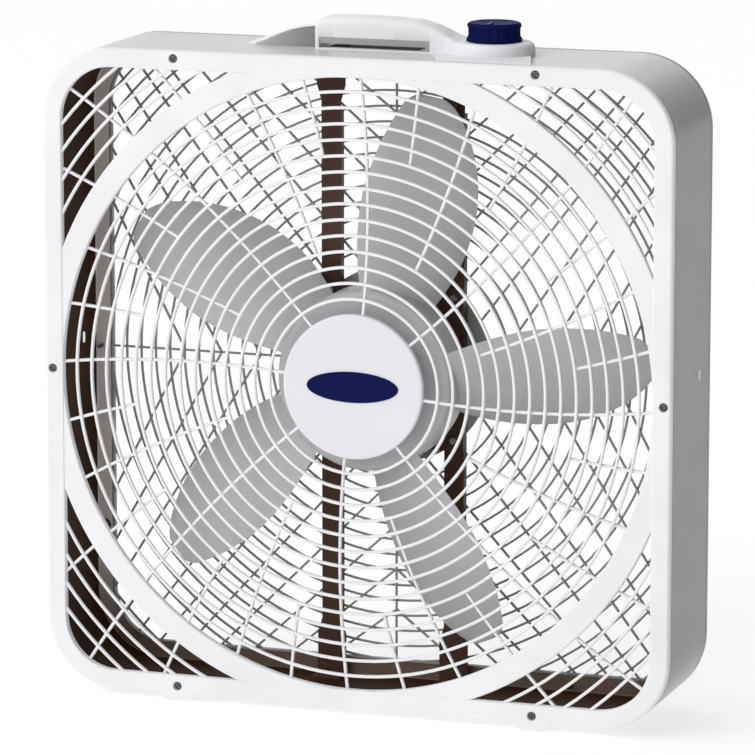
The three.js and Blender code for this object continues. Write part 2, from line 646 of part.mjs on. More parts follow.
// Stations along a blade: radius, angle and Y of the edge nearer the front grille,
// angle and Y of the edge nearer the back.
const BLADE_STATIONS = [
  [70, 20.6, -27.5, -22.2, 7.5], [90, 21.0, -29.0, -20.6, 12.5], [115, 20.8, -28.0, -17.9, 17.5],
  [145, 19.4, -24.0, -13.8, 19.5], [172, 17.0, -18.5, -9.6, 17.0], [195, 14.6, -12.5, -5.4, 13.0],
  [212, 12.6, -8.0, -1.8, 9.0], [224, 11.0, -5.0, 1.2, 5.5], [230, 9.0, -2.5, 3.6, 2.0],
];
const BLADE_THICK = 2.2;
const BLADE_ACROSS = 4;
const BLADE_CAMBER = 4.5;

function bladePoint([r, frontAngle, frontY, backAngle, backY], t) {
  const a = (frontAngle + (backAngle - frontAngle) * t) * DEG;
  const bow = BLADE_CAMBER * 4 * t * (1 - t) * Math.min(1, (232 - r) / 60);
  return new THREE.Vector3(r * Math.cos(a), frontY + (backY - frontY) * t - bow, r * Math.sin(a));
}

function bladeBody(turnAngle) {
  const rows = BLADE_STATIONS.length;
  const columns = BLADE_ACROSS + 1;
  const positions = [];
  for (const side of [-0.5, 0.5]) {
    for (let i = 0; i < rows; i += 1) {
      for (let j = 0; j < columns; j += 1) {
        const p = bladePoint(BLADE_STATIONS[i], j / BLADE_ACROSS);
        positions.push(p.x, p.y + side * BLADE_THICK, p.z);
      }
    }
  }
  const at = (layer, i, j) => layer * rows * columns + i * columns + j;
  const index = [];
  const quad = (a, b, c, d) => index.push(a, b, c, a, c, d);
  for (let i = 0; i < rows - 1; i += 1) {
    for (let j = 0; j < columns - 1; j += 1) {
      quad(at(0, i, j), at(0, i, j + 1), at(0, i + 1, j + 1), at(0, i + 1, j));
      quad(at(1, i, j), at(1, i + 1, j), at(1, i + 1, j + 1), at(1, i, j + 1));
    }
    quad(at(0, i, 0), at(0, i + 1, 0), at(1, i + 1, 0), at(1, i, 0));
    quad(at(0, i, columns - 1), at(1, i, columns - 1), at(1, i + 1, columns - 1), at(0, i + 1, columns - 1));
  }
  for (let j = 0; j < columns - 1; j += 1) {
    quad(at(0, 0, j), at(1, 0, j), at(1, 0, j + 1), at(0, 0, j + 1));
    quad(at(0, rows - 1, j), at(0, rows - 1, j + 1), at(1, rows - 1, j + 1), at(1, rows - 1, j));
  }
  const geometry = new THREE.BufferGeometry();
  geometry.setAttribute("position", new THREE.Float32BufferAttribute(positions, 3));
  geometry.setIndex(index);
  geometry.rotateY(-turnAngle * DEG);
  geometry.translate(0, 0, CENTRE_Z);
  return solid(geometry);
}

function fanImpeller() {
  const w = HUB.wall;
  const hub = turnedY([[SHAFT_R + 0.05, HUB.front - 1.5], [HUB.bossR, HUB.front - 1.5], [14, HUB.front],
    [HUB.r - 5, HUB.front], [HUB.r, HUB.front + 5], [HUB.r, HUB.back], [HUB.r - w, HUB.back],
    [HUB.r - w, HUB.front + 5.6], [HUB.r - 6, HUB.front + w], [HUB.bossR, HUB.front + w],
    [HUB.bossR, -1], [SHAFT_R + 0.05, -1], [SHAFT_R + 0.05, HUB.front - 1.5]], 0, CENTRE_Z, 36);
  const blades = [];
  for (let k = 0; k < 5; k += 1) blades.push(bladeBody(k * 72));
  const core = rodY(HUB.r - w + 0.2, -60, 60, 0, CENTRE_Z, 36);
  return join(hub, blades.map((blade) => cut(blade, core)));
}

function hubClip() {
  const y = HUB.front - 1.6;
  return sleeveY(SHAFT_R + 0.05, 8.5, y - 1.4, y, 0, CENTRE_Z, 24);
}

// ---- small parts ------------------------------------------------------------------------
// The cord leaves through a bushing that sits flush in the rear frame.
function cordGland() {
  const z = CENTRE_Z + GLAND.z;
  const flange = rodY(GLAND.flangeR, HALF_DEPTH - 2, HALF_DEPTH - 0.1, GLAND.x, z, 16);
  const body = rodY(GLAND.r, SHELL_HALF_DEPTH - 8, HALF_DEPTH - 1, GLAND.x, z, 12);
  return cut(join(flange, body), rodY(3, 30, 70, GLAND.x, z, 12));
}

function glandPocket() {
  const z = CENTRE_Z + GLAND.z;
  return [rodY(GLAND.flangeR + 0.2, HALF_DEPTH - 2, HALF_DEPTH + 2, GLAND.x, z, 16),
    rodY(GLAND.r + 0.2, 40, 70, GLAND.x, z, 12)];
}

// The motor lead climbs the right strut and crosses under the top to the switch.
function motorLead() {
  const z = CENTRE_Z;
  const path = new THREE.CatmullRomCurve3([
    [22, 35, z + 43.6], [27, 35, z + 52], [40, 36.4, z + 66], [51, 37, z + 84], [52, 39.2, z + 110],
    [52, 39.2, z + 170], [52, 39.2, z + 205], [58, 37, z + 228], [72, 28, z + 236],
    [86, 24, z + 244], [97, 22.6, z + 248.6]].map((p) => new THREE.Vector3(...p)));
  const ring = new THREE.Shape(circle(2.3, 6).map(([x, y]) => new THREE.Vector2(x, y)));
  const geometry = new THREE.ExtrudeGeometry(ring, { steps: 26, extrudePath: path, bevelEnabled: false });
  return solid(geometry);
}

function leadClip(z) {
  const block = box(STRUT_X - 7, STRUT_X + 7, 35.6, STRUT_FRONT_Y - 0.05, z - 3.5, z + 3.5);
  return cut(block, box(STRUT_X - 2.9, STRUT_X + 2.9, 36.6, STRUT_FRONT_Y + 1, z - 5, z + 5));
}

// A plain oval plate with a raised rim on the middle of the front cap.
function capBadge() {
  const y = layerY("plate", -1)[0];
  const oval = (rx, rz) => circle(1, 28).map(([x, z]) => [x * rx, z * rz]);
  const plate = prismY(oval(38, 12.3), y - 0.9, y);
  return cut(plate, prismY(oval(35.6, 10.1), y - 2, y - 0.5));
}

// ---- assembly ---------------------------------------------------------------------------
const root = new THREE.Group();
root.name = "box_fan";

function add(name, body, paint) {
  const mesh = new THREE.Mesh(geometryOf(body), paint);
  mesh.name = name;
  root.add(mesh);
}

add("housing_shell", housingShell(), material("steel", 0.45, 0.1));
add("front_grille", frontGrille(), material("white"));
add("rear_grille", rearGrille(), material("white"));
add("cap_badge", capBadge(), material("navy"));
add("handle_housing", handleHousing(), material("white"));
add("speed_knob", speedKnob(), material("navy", 0.35));
add("switch_body", switchBody(), material("black"));
add("switch_shaft", switchShaft(), material("zinc", 0.4, 0.8));
add("switch_nut", switchNut(), material("zinc", 0.4, 0.8));
add("fan_impeller", fanImpeller(), material("blade", 0.45));
add("hub_clip", hubClip(), material("zinc", 0.4, 0.8));
add("motor_shaft", motorShaft(), material("zinc", 0.3, 0.9));
add("motor_rotor", motorRotor(), material("zinc", 0.5, 0.7));
add("motor_bearing_front", motorBearing(3.6, 8), material("bronze", 0.4, 0.8));
add("motor_bearing_back", motorBearing(36, 40.4), material("bronze", 0.4, 0.8));
add("stator_core", statorCore(), material("zinc", 0.6, 0.6));
add("winding_front", windingRing(8.4, MOTOR.coreFront), material("copper", 0.5, 0.5));
add("winding_back", windingRing(MOTOR.coreBack, 35.6), material("copper", 0.5, 0.5));
add("motor_bell_front", motorBell(MOTOR.front, MOTOR.coreFront), material("zinc", 0.5, 0.6));
add("motor_bell_back", motorBell(MOTOR.back, MOTOR.coreBack), material("zinc", 0.5, 0.6));
cornersOf(BOLT).forEach(([x, z], i) => {
  add(`motor_bolt_${i + 1}`, motorBolt(x, z), material("zinc", 0.4, 0.8));
  add(`motor_nut_${i + 1}`, boltNut(x, z), material("zinc", 0.4, 0.8));
});
add("motor_strut_left", motorStrut(-STRUT_X), material("dark", 0.5, 0.4));
add("motor_strut_right", motorStrut(STRUT_X), material("dark", 0.5, 0.4));
add("motor_bracket_upper", motorBracket(1), material("dark", 0.5, 0.4));
add("motor_bracket_lower", motorBracket(-1), material("dark", 0.5, 0.4));
strutSites().forEach(([x, end], i) => {
  add(`bracket_screw_${i + 1}`, bracketScrew(x, end * BRACKET.screwZ), material("zinc", 0.4, 0.8));
  add(`strut_screw_${i + 1}`, strutScrew(x, end), material("zinc", 0.4, 0.8));
});
for (const [label, [x, z]] of Object.entries(grilleScrewSites())) {
  add(`front_screw_${label}`, grilleScrew(-1, x, z), material("zinc", 0.4, 0.8));
  add(`rear_screw_${label}`, grilleScrew(1, x, z), material("zinc", 0.4, 0.8));
}
add("cord_gland", cordGland(), material("black", 0.6));
add("motor_lead", motorLead(), material("black", 0.6));
add("lead_clip_lower", leadClip(CENTRE_Z + 130), material("black", 0.6));
add("lead_clip_upper", leadClip(CENTRE_Z + 190), material("black", 0.6));

export default root;
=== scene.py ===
"""Looks of a twenty-inch box fan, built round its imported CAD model.

Lengths are in millimetres and become metres where a mesh is made. +X is the viewer's right,
+Y runs from the front grille to the back, +Z is up, and the fan stands on z = 0.
"""
import math

import bpy
import bmesh
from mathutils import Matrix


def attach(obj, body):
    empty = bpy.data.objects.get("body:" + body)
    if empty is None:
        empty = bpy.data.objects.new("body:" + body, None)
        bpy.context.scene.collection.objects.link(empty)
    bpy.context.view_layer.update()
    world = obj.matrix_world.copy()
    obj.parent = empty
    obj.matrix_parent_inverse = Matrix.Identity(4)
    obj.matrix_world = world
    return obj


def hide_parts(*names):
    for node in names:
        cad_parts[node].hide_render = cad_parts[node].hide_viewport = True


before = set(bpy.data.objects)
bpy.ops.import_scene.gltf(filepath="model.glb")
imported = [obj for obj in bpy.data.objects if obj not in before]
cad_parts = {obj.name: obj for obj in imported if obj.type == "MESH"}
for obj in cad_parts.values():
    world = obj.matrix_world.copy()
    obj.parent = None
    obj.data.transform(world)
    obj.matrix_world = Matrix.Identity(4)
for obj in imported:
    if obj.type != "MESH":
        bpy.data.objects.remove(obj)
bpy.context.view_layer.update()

MM = 0.001
SCENE = bpy.context.scene
RIGHT_ANGLE = math.pi / 2

# ---- sizes of the fan ---------------------------------------------------------------------
BODY_HALF = 260.35
BODY_CORNER_R = 58.0
HALF_DEPTH = 57.15
TAB_DROP = 5.6
CENTRE_Z = 265.95
TOP_Z = 526.3

FRAME_THICK = 6.0
FRAME_WIDTH = 15.5
FRAME_OUTER_ROUND = 2.6
FRAME_INNER_ROUND = 1.3
FIELD_HALF = BODY_HALF - FRAME_WIDTH / 2
FIELD_CORNER_R = BODY_CORNER_R - FRAME_WIDTH / 2
SHELL_HALF_DEPTH = HALF_DEPTH - FRAME_THICK
SHELL_WALL = 1.2
FLANGE_WIDTH = 14.0

BAR = 2.5
REAR_BAR = 1.8
CAP_R = 58.0
REAR_CAP_R = 80.0
RING_FIRST_R = 70.0
RING_PITCH = 12.6
RING_COUNT = 14
REAR_RINGS = range(2, 21)
BAND_INNER_R = 245.0
BAND_OUTER_R = 264.0
CORNER_ARC_FIRST_R = 275.5
CORNER_ARC_PITCH = 13.0
LEAN_START = -9.5
LEAN_PER_MM = 0.0335
SPOKE_STEP = 11.25
SPOKE_COUNT = 32
SPOKE_FAR_R = 345.0

# How deep below a grille's face each layer starts and ends.
RING_DEPTHS = (1.5, 4.0)
CROSSBAR_DEPTHS = (3.4, 5.8)
PLATE_DEPTHS = (0.9, 5.8)

SCREW_TOP_X = 149.0
SCREW_SIDE_X = 254.0
SCREW_EDGE = BODY_HALF - 6.5
SCREW_SITES = {
    "tl": (-SCREW_TOP_X, SCREW_EDGE), "tr": (SCREW_TOP_X, SCREW_EDGE),
    "l": (-SCREW_SIDE_X, 0), "r": (SCREW_SIDE_X, 0),
    "bl": (-SCREW_TOP_X, -SCREW_EDGE), "br": (SCREW_TOP_X, -SCREW_EDGE),
}
POCKET_R = 3.6
POCKET_DEPTH = 3.0
SCREW_HOLE_R = 1.9
TAB_HALF = 17.0
TAB_FLAT_HALF = 7.0
GLAND_X = -252.4
GLAND_Z = -150.0
GLAND_R = 4.7

KNOB_X = 98.0
KNOB_R = 21.6
POD_HEIGHT = 10.8
SWITCH_BORE_R = 6.2
LOCK_SLOT_Y = (21.0, 25.5)
LOCK_SLOT_Z = (6.5, 15.5)


# ---- camera -------------------------------------------------------------------------------
def make_camera():
    """The camera that meets the photograph: in front, a little to the right and above."""
    data = bpy.data.cameras.new("camera")
    data.sensor_width = 36.0
    data.lens = 254.85
    data.clip_end = 60.0
    camera = bpy.data.objects.new("camera", data)
    camera.location = (1.3587, -3.9503, 1.0636)
    camera.rotation_euler = (math.radians(90 - 10.84), 0, math.radians(18.96))
    SCENE.collection.objects.link(camera)
    SCENE.camera = camera


make_camera()


# ---- mesh helpers -------------------------------------------------------------------------
def mesh_object(name, points, faces):
    """A mesh object from points in millimetres."""
    mesh = bpy.data.meshes.new(name)
    mesh.from_pydata([(x * MM, y * MM, z * MM) for x, y, z in points], [], faces)
    mesh.update()
    obj = bpy.data.objects.new(name, mesh)
    SCENE.collection.objects.link(obj)
    outward(mesh)
    return obj


def outward(mesh):
    """Turns every face outward."""
    bm = bmesh.new()
    bm.from_mesh(mesh)
    bmesh.ops.recalc_face_normals(bm, faces=bm.faces)
    bm.to_mesh(mesh)
    bm.free()


def loft(name, loops, wrap=False):
    """One skin through equal loops of points, closed at both ends or on itself."""
    size, count = len(loops[0]), len(loops)
    points = [p for loop in loops for p in loop]
    faces = []
    for i in range(count if wrap else count - 1):
        a, b = i * size, ((i + 1) % count) * size
        for j in range(size):
            k = (j + 1) % size
            faces.append((a + j, a + k, b + k, b + j))
    if not wrap:
        faces.append(tuple(reversed(range(size))))
        faces.append(tuple((count - 1) * size + j for j in range(size)))
    return mesh_object(name, points, faces)


def turns(count):
    """Equal steps round a full turn."""
    return [2 * math.pi * i / count for i in range(count)]


def lathe_y(name, profile, segments, x=0.0, z=CENTRE_Z):
    """A closed profile of (radius, y) turned about a line along Y; radius 0 closes on the axis."""
    return lathe(name, profile, segments, lambda r, a, h: (x + r * math.cos(a), h, z + r * math.sin(a)))


def lathe_z(name, profile, segments, x, y):
    """A closed profile of (radius, z) turned about an upright line."""
    return lathe(name, profile, segments, lambda r, a, h: (x + r * math.cos(a), y + r * math.sin(a), h))


def lathe(name, profile, segments, place):
    """Turns a profile; place(radius, angle, height) gives each point."""
    points, rows = [], []
    for r, h in profile:
        if r < 1e-6:
            rows.append([len(points)])
            points.append(place(0, 0, h))
        else:
            rows.append([len(points) + i for i in range(segments)])
            points += [place(r, a, h) for a in turns(segments)]
    faces = []
    solid = len(rows[0]) == 1 and len(rows[-1]) == 1
    pairs = list(zip(rows, rows[1:])) + ([] if solid else [(rows[-1], rows[0])])
    for low, high in pairs:
        for i in range(segments):
            k = (i + 1) % segments
            if len(low) == 1:
                faces.append((low[0], high[i], high[k]))
            elif len(high) == 1:
                faces.append((low[i], low[k], high[0]))
            else:
                faces.append((low[i], low[k], high[k], high[i]))
    return mesh_object(name, points, faces)


def plug_y(name, radius, y0, y1, segments, x=0.0, z=CENTRE_Z):
    """A plain cylinder along Y."""
    return lathe_y(name, [(0, y0), (radius, y0), (radius, y1), (0, y1)], segments, x, z)


def plug_z(name, radius, z0, z1, segments, x, y):
    """A plain upright cylinder."""
    return lathe_z(name, [(0, z0), (radius, z0), (radius, z1), (0, z1)], segments, x, y)


def round_corner(ax, ay, bx, by, steps):
    """Points of a quarter ellipse from a to b; it leaves a along y and reaches b along x."""
    points = []
    for i in range(steps + 1):
        t = RIGHT_ANGLE * i / steps
        points.append((bx + (ax - bx) * math.cos(t), ay + (by - ay) * math.sin(t)))
    return points


def rounded_square(half, radius, steps=14):
    """(x, z) points round a square with round corners."""
    points = []
    for sx, sz, start in ((1, 1, 0), (-1, 1, 90), (-1, -1, 180), (1, -1, 270)):
        for i in range(steps + 1):
            a = math.radians(start + 90 * i / steps)
            points.append((sx * (half - radius) + radius * math.cos(a),
                           sz * (half - radius) + radius * math.sin(a)))
    return points


def square_sweep(name, profile):
    """A closed profile of (distance inward from the body's outline, y), carried round the fan."""
    loops = []
    for inward, y in profile:
        outline = rounded_square(BODY_HALF - inward, BODY_CORNER_R - inward)
        loops.append([(x, y, CENTRE_Z + z) for x, z in outline])
    return loft(name, loops, wrap=True)


def prism_y(name, outline, y0, y1):
    """An (x, z) outline about the fan's axis, carried along Y."""
    return loft(name, [[(x, y, CENTRE_Z + z) for x, z in outline] for y in (y0, y1)])


def block(name, x0, x1, y0, y1, z0, z1):
    """A plain box between two corners."""
    outline = [(x0, y0), (x1, y0), (x1, y1), (x0, y1)]
    return loft(name, [[(x, y, z) for x, y in outline] for z in (z0, z1)])


def combine(target, tools, operation):
    """Applies a boolean with each tool in turn and removes the tools."""
    for tool in tools:
        step = target.modifiers.new("step", "BOOLEAN")
        step.operation = operation
        step.solver = "MANIFOLD"
        step.object = tool
    graph = bpy.context.evaluated_depsgraph_get()
    made = bpy.data.meshes.new_from_object(target.evaluated_get(graph))
    old = target.data
    target.modifiers.clear()
    target.data = made
    bpy.data.meshes.remove(old)
    for tool in tools:
        bpy.data.meshes.remove(tool.data)
    return target


def finish_piece(obj, paint, body, nodes=(), angle=38):
    """Paints a piece, shades it smooth up to an angle, and puts it on its body."""
    mesh = obj.data
    mesh.materials.clear()
    mesh.materials.append(paint)
    mesh.polygons.foreach_set("material_index", [0] * len(mesh.polygons))
    smooth(obj, angle)
    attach(obj, body)
    if nodes:
        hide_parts(*nodes)
    return obj


def smooth(obj, angle):
    """Smooth shading that keeps edges sharper than an angle and flat faces flat."""
    obj.data.shade_smooth()
    obj.data.set_sharp_from_angle(angle=math.radians(angle))
    weighted = obj.modifiers.new("flat_faces", "WEIGHTED_NORMAL")
    weighted.keep_sharp = True
    weighted.weight = 80


# ---- materials ----------------------------------------------------------------------------
def set_inputs(node, values):
    """Sets inputs of a node by their names."""
    for name, value in values.items():
        node.inputs[name].default_value = value


def new_material(name, roughness, metallic=0.0, coat=0.0, specular=0.5):
    """A material and its shader node."""
    material = bpy.data.materials.new(name)
    material.use_nodes = True
    shader = material.node_tree.nodes["Principled BSDF"]
    set_inputs(shader, {"Roughness": roughness, "Metallic": metallic, "Coat Weight": coat,
                        "Coat Roughness": 0.15, "Specular IOR Level": specular})
    return material, shader


def object_noise(material, scale, detail):
    """A noise texture fixed to the object, with its size in details per metre."""
    nodes, links = material.node_tree.nodes, material.node_tree.links
    where = nodes.new("ShaderNodeTexCoord")
    texture = nodes.new("ShaderNodeTexNoise")
    set_inputs(texture, {"Scale": scale, "Detail": detail})
    links.new(where.outputs["Object"], texture.inputs["Vector"])
    return texture.outputs["Fac"]


def coordinate(tree, kind, axis):
    """One coordinate as a value: of the object, of its normal, or of the sky."""
    where = tree.nodes.new("ShaderNodeTexCoord")
    split = tree.nodes.new("ShaderNodeSeparateXYZ")
    tree.links.new(where.outputs[kind], split.inputs["Vector"])
    return split.outputs[axis]


def vary_colour(material, shader, fac, low, high, span=(0.3, 0.7)):
    """Base colour between two tones, following a value."""
    nodes, links = material.node_tree.nodes, material.node_tree.links
    ramp = nodes.new("ShaderNodeValToRGB")
    ramp.color_ramp.elements[0].position = span[0]
    ramp.color_ramp.elements[0].color = (*low, 1)
    ramp.color_ramp.elements[1].position = span[1]
    ramp.color_ramp.elements[1].color = (*high, 1)
    links.new(fac, ramp.inputs["Fac"])
    links.new(ramp.outputs["Color"], shader.inputs["Base Color"])


def vary_roughness(material, shader, fac, low, high):
    """Roughness between two levels, following a value."""
    nodes, links = material.node_tree.nodes, material.node_tree.links
    spread = nodes.new("ShaderNodeMapRange")
    set_inputs(spread, {"To Min": low, "To Max": high})
    links.new(fac, spread.inputs["Value"])
    links.new(spread.outputs["Result"], shader.inputs["Roughness"])


def add_bump(material, shader, fac, height_mm, strength):
    """Fine relief that follows a value."""
    nodes, links = material.node_tree.nodes, material.node_tree.links
    bump = nodes.new("ShaderNodeBump")
    set_inputs(bump, {"Strength": strength, "Distance": height_mm * MM})
    links.new(fac, bump.inputs["Height"])
    links.new(bump.outputs["Normal"], shader.inputs["Normal"])


def moulded_plastic(name, low, high, roughness, specular=0.5):
    """Moulded plastic: a fine even grain, slow tone changes, slightly uneven gloss."""
    material, shader = new_material(name, roughness, specular=specular)
    vary_colour(material, shader, object_noise(material, 14, 2), low, high)
    vary_roughness(material, shader, object_noise(material, 60, 4), roughness - 0.06, roughness + 0.08)
    add_bump(material, shader, object_noise(material, 1400, 2), 0.03, 0.5)
    return material


def enamel(name, low, high, roughness, coat=0.25, specular=0.5):
    """Baked paint on sheet steel: orange peel under a thin gloss."""
    material, shader = new_material(name, roughness, coat=coat, specular=specular)
    vary_colour(material, shader, object_noise(material, 9, 3), low, high)
    vary_roughness(material, shader, object_noise(material, 35, 5), roughness - 0.05, roughness + 0.1)
    add_bump(material, shader, object_noise(material, 420, 1.5), 0.05, 0.4)
    return material


def paint_shade_on_upright_sides(material, level):
    """Painted shade: scales a paint's tone down where the surface faces left or right."""
    nodes, links = material.node_tree.nodes, material.node_tree.links
    base = nodes["Principled BSDF"].inputs["Base Color"]
    size = nodes.new("ShaderNodeMath")
    size.operation = "ABSOLUTE"
    fall = nodes.new("ShaderNodeMapRange")
    set_inputs(fall, {"From Min": 0.55, "From Max": 1.0, "To Min": 1.0, "To Max": level})
    tone = nodes.new("ShaderNodeVectorMath")
    tone.operation = "SCALE"
    links.new(coordinate(material.node_tree, "Normal", "X"), size.inputs[0])
    links.new(size.outputs["Value"], fall.inputs["Value"])
    links.new(fall.outputs["Result"], tone.inputs["Scale"])
    links.new(base.links[0].from_socket, tone.inputs[0])
    links.new(tone.outputs["Vector"], base)


def shade_gradient_paint(name, axis, start, end, low, high, roughness):
    """Painted shade that changes tone along one axis, between two places in millimetres."""
    material, shader = new_material(name, roughness)
    tree = material.node_tree
    spread = tree.nodes.new("ShaderNodeMapRange")
    set_inputs(spread, {"From Min": start * MM, "From Max": end * MM})
    tree.links.new(coordinate(tree, "Object", axis), spread.inputs["Value"])
    vary_colour(material, shader, spread.outputs["Result"], low, high, (0.0, 1.0))
    vary_roughness(material, shader, object_noise(material, 35, 5), roughness - 0.05, roughness + 0.1)
    add_bump(material, shader, object_noise(material, 900, 2), 0.03, 0.5)
    return material


def bare_metal(name, low, high, roughness):
    """Bare or plated metal with an uneven gloss."""
    material, shader = new_material(name, roughness, metallic=1.0)
    fac = object_noise(material, 500, 3)
    vary_colour(material, shader, fac, low, high)
    vary_roughness(material, shader, fac, roughness - 0.08, roughness + 0.12)
    add_bump(material, shader, fac, 0.02, 0.4)
    return material


def coil_copper():
    """Wound enamelled wire: fine turns round the coil under a warm varnish."""
    material, shader = new_material("copper_coil", 0.3, metallic=0.9, coat=0.5)
    nodes, links = material.node_tree.nodes, material.node_tree.links
    where = nodes.new("ShaderNodeTexCoord")
    shift = nodes.new("ShaderNodeMapping")
    set_inputs(shift, {"Location": (0, 0, -CENTRE_Z * MM)})
    wave = nodes.new("ShaderNodeTexWave")
    wave.wave_type = "RINGS"
    wave.rings_direction = "Y"
    set_inputs(wave, {"Scale": 330, "Distortion": 1.2, "Detail": 2})
    links.new(where.outputs["Object"], shift.inputs["Vector"])
    links.new(shift.outputs["Vector"], wave.inputs["Vector"])
    dark, bright = (0.22, 0.07, 0.025), (0.62, 0.25, 0.1)
    vary_colour(material, shader, wave.outputs["Fac"], dark, bright, (0.1, 0.8))
    add_bump(material, shader, wave.outputs["Fac"], 0.25, 0.8)
    return material


def laminated_steel():
    """Edges of stacked motor sheets: thin dark lines across the fan's axis."""
    material, shader = new_material("core_laminations", 0.5, metallic=0.85)
    nodes, links = material.node_tree.nodes, material.node_tree.links
    where = nodes.new("ShaderNodeTexCoord")
    wave = nodes.new("ShaderNodeTexWave")
    wave.bands_direction = "Y"
    set_inputs(wave, {"Scale": 320, "Distortion": 0.3})
    links.new(where.outputs["Object"], wave.inputs["Vector"])
    dark, bright = (0.06, 0.06, 0.065), (0.34, 0.34, 0.35)
    vary_colour(material, shader, wave.outputs["Fac"], dark, bright, (0.15, 0.6))
    add_bump(material, shader, wave.outputs["Fac"], 0.15, 0.8)
    return material


WHITE = moulded_plastic("white_plastic", (0.82, 0.82, 0.845), (0.88, 0.88, 0.90), 0.5, specular=0.35)
CAP_WHITE = moulded_plastic("cap_plastic", (0.74, 0.74, 0.78), (0.79, 0.79, 0.83), 0.5, specular=0.35)
# Painted shade: the ramp's front side is grey and darkens towards the bar.
RAMP_SIDE_PAINTED_SHADE = shade_gradient_paint(
    "ramp_side_painted_shade", "X", -98, -48, (0.50, 0.50, 0.49), (0.19, 0.19, 0.185), 0.55)
# Painted shade: the bar's down-facing front under its edge is grey.
UNDER_BAR_PAINTED_SHADE = moulded_plastic("under_bar_painted_shade", (0.42, 0.42, 0.41), (0.48, 0.48, 0.47), 0.55)
# Painted shade: the rear grille is a darker copy of the white plastic, as if in shade.
REAR_GRILLE_PAINTED_SHADE = moulded_plastic("rear_plastic_painted_shade", (0.33, 0.32, 0.31), (0.40, 0.39, 0.38), 0.5)
# Painted shade: the finger well's walls are dark.
WELL_PAINTED_SHADE = moulded_plastic("well_painted_shade", (0.12, 0.12, 0.115), (0.17, 0.17, 0.165), 0.6)
BLADE = moulded_plastic("blade_plastic", (0.50, 0.50, 0.51), (0.56, 0.56, 0.57), 0.36)
NAVY = moulded_plastic(
    "navy_plastic", (0.006, 0.008, 0.058), (0.011, 0.014, 0.092), 0.3, specular=0.002)
# Painted highlight: a lighter blue for the top of the knob's pointer.
POINTER_PAINTED_HIGHLIGHT = moulded_plastic(
    "pointer_painted_highlight", (0.06, 0.08, 0.22), (0.09, 0.11, 0.28), 0.4, specular=0.1)
BLACK = moulded_plastic("black_plastic", (0.018, 0.017, 0.017), (0.032, 0.03, 0.03), 0.5)
STEEL_GREY = enamel("shell_enamel", (0.56, 0.56, 0.55), (0.62, 0.62, 0.61), 0.4)
# Painted shade: the shell's paint is darker where it faces left or right.
paint_shade_on_upright_sides(STEEL_GREY, 0.37)
# Painted shade: the inner faces of the shell are dark brown, as if in the shade inside the box.
INSIDE_PAINTED_SHADE = enamel(
    "inside_painted_shade", (0.036, 0.013, 0.005), (0.062, 0.024, 0.011), 0.5, coat=0.0, specular=0.06)
# Painted shade: the flanges' inner faces are grey-brown and darken towards the floor.
FLANGE_PAINTED_SHADE = shade_gradient_paint(
    "flange_painted_shade", "Z", 25, 85, (0.20, 0.135, 0.105), (0.82, 0.76, 0.72), 0.45)
# Painted shade: the struts and brackets are dark brown, as if in the shade inside the box.
STRUT_PAINTED_SHADE = enamel(
    "strut_painted_shade", (0.070, 0.036, 0.022), (0.112, 0.063, 0.042), 0.45, coat=0.0, specular=0.15)
ZINC = bare_metal("zinc_plate", (0.48, 0.49, 0.50), (0.66, 0.67, 0.68), 0.3)
SCREW_STEEL = bare_metal("screw_steel", (0.10, 0.10, 0.105), (0.20, 0.20, 0.21), 0.36)
BRONZE = bare_metal("bearing_bronze", (0.36, 0.22, 0.08), (0.5, 0.33, 0.14), 0.38)
COPPER = coil_copper()
LAMINATIONS = laminated_steel()


# ---- grille parts -------------------------------------------------------------------------
def face_y(depth, side):
    """Y of a point that lies this deep below the face of the front (-1) or rear (+1) grille."""
    return side * (HALF_DEPTH - depth)


def bar_section(width, depths):
    """(across, depth) round a bar: rounded towards the face, eased at the back."""
    half, (d0, d1) = width / 2, depths
    round_face, round_back = 0.95, 0.35
    section = round_corner(-half, d0 + round_face, -half + round_face, d0, 3)
    section += round_corner(half, d0 + round_face, half - round_face, d0, 3)[::-1]
    section += [(half, d1 - round_back), (half - round_back, d1)]
    section += [(-half + round_back, d1), (-half, d1 - round_back)]
    return section


def arc_bar(name, radius, depths, side, start=0.0, end=360.0, width=BAR):
    """A bar along a circle round the fan's axis."""
    full = end - start > 359.9
    steps = max(6, round((end - start) / 360 * (96 if radius < 120 else 152)))
    loops = []
    for i in range(steps if full else steps + 1):
        a = math.radians(start + (end - start) * i / steps)
        loop = []
        for u, d in bar_section(width, depths):
            r = radius + u
            loop.append((r * math.cos(a), face_y(d, side), CENTRE_Z + r * math.sin(a)))
        loops.append(loop)
    return loft(name, loops, wrap=full)


def line_bar(name, line, depths, side, width=BAR):
    """A bar along a line of (x, z) points measured from the fan's axis."""
    loops = []
    for i, (x, z) in enumerate(line):
        ax, az = line[max(i - 1, 0)]
        bx, bz = line[min(i + 1, len(line) - 1)]
        length = math.hypot(bx - ax, bz - az)
        nx, nz = (az - bz) / length, (bx - ax) / length
        loops.append([(x + u * nx, face_y(d, side), CENTRE_Z + z + u * nz)
                      for u, d in bar_section(width, depths)])
    return loft(name, loops)


def inside_field(x, z):
    """True for a point within the middle line of the square frame."""
    over_x = abs(x) - (FIELD_HALF - FIELD_CORNER_R)
    over_z = abs(z) - (FIELD_HALF - FIELD_CORNER_R)
    if over_x > 0 and over_z > 0:
        return math.hypot(over_x, over_z) < FIELD_CORNER_R
    return max(abs(x), abs(z)) < FIELD_HALF


def field_arcs(radius):
    """The pieces of a circle that lie within the frame, as (start, end) in degrees."""
    if radius < FIELD_HALF:
        return [(0.0, 360.0)]
    first = math.degrees(math.acos(FIELD_HALF / radius))
    return [(90 * k + first, 90 * (k + 1) - first) for k in range(4)]


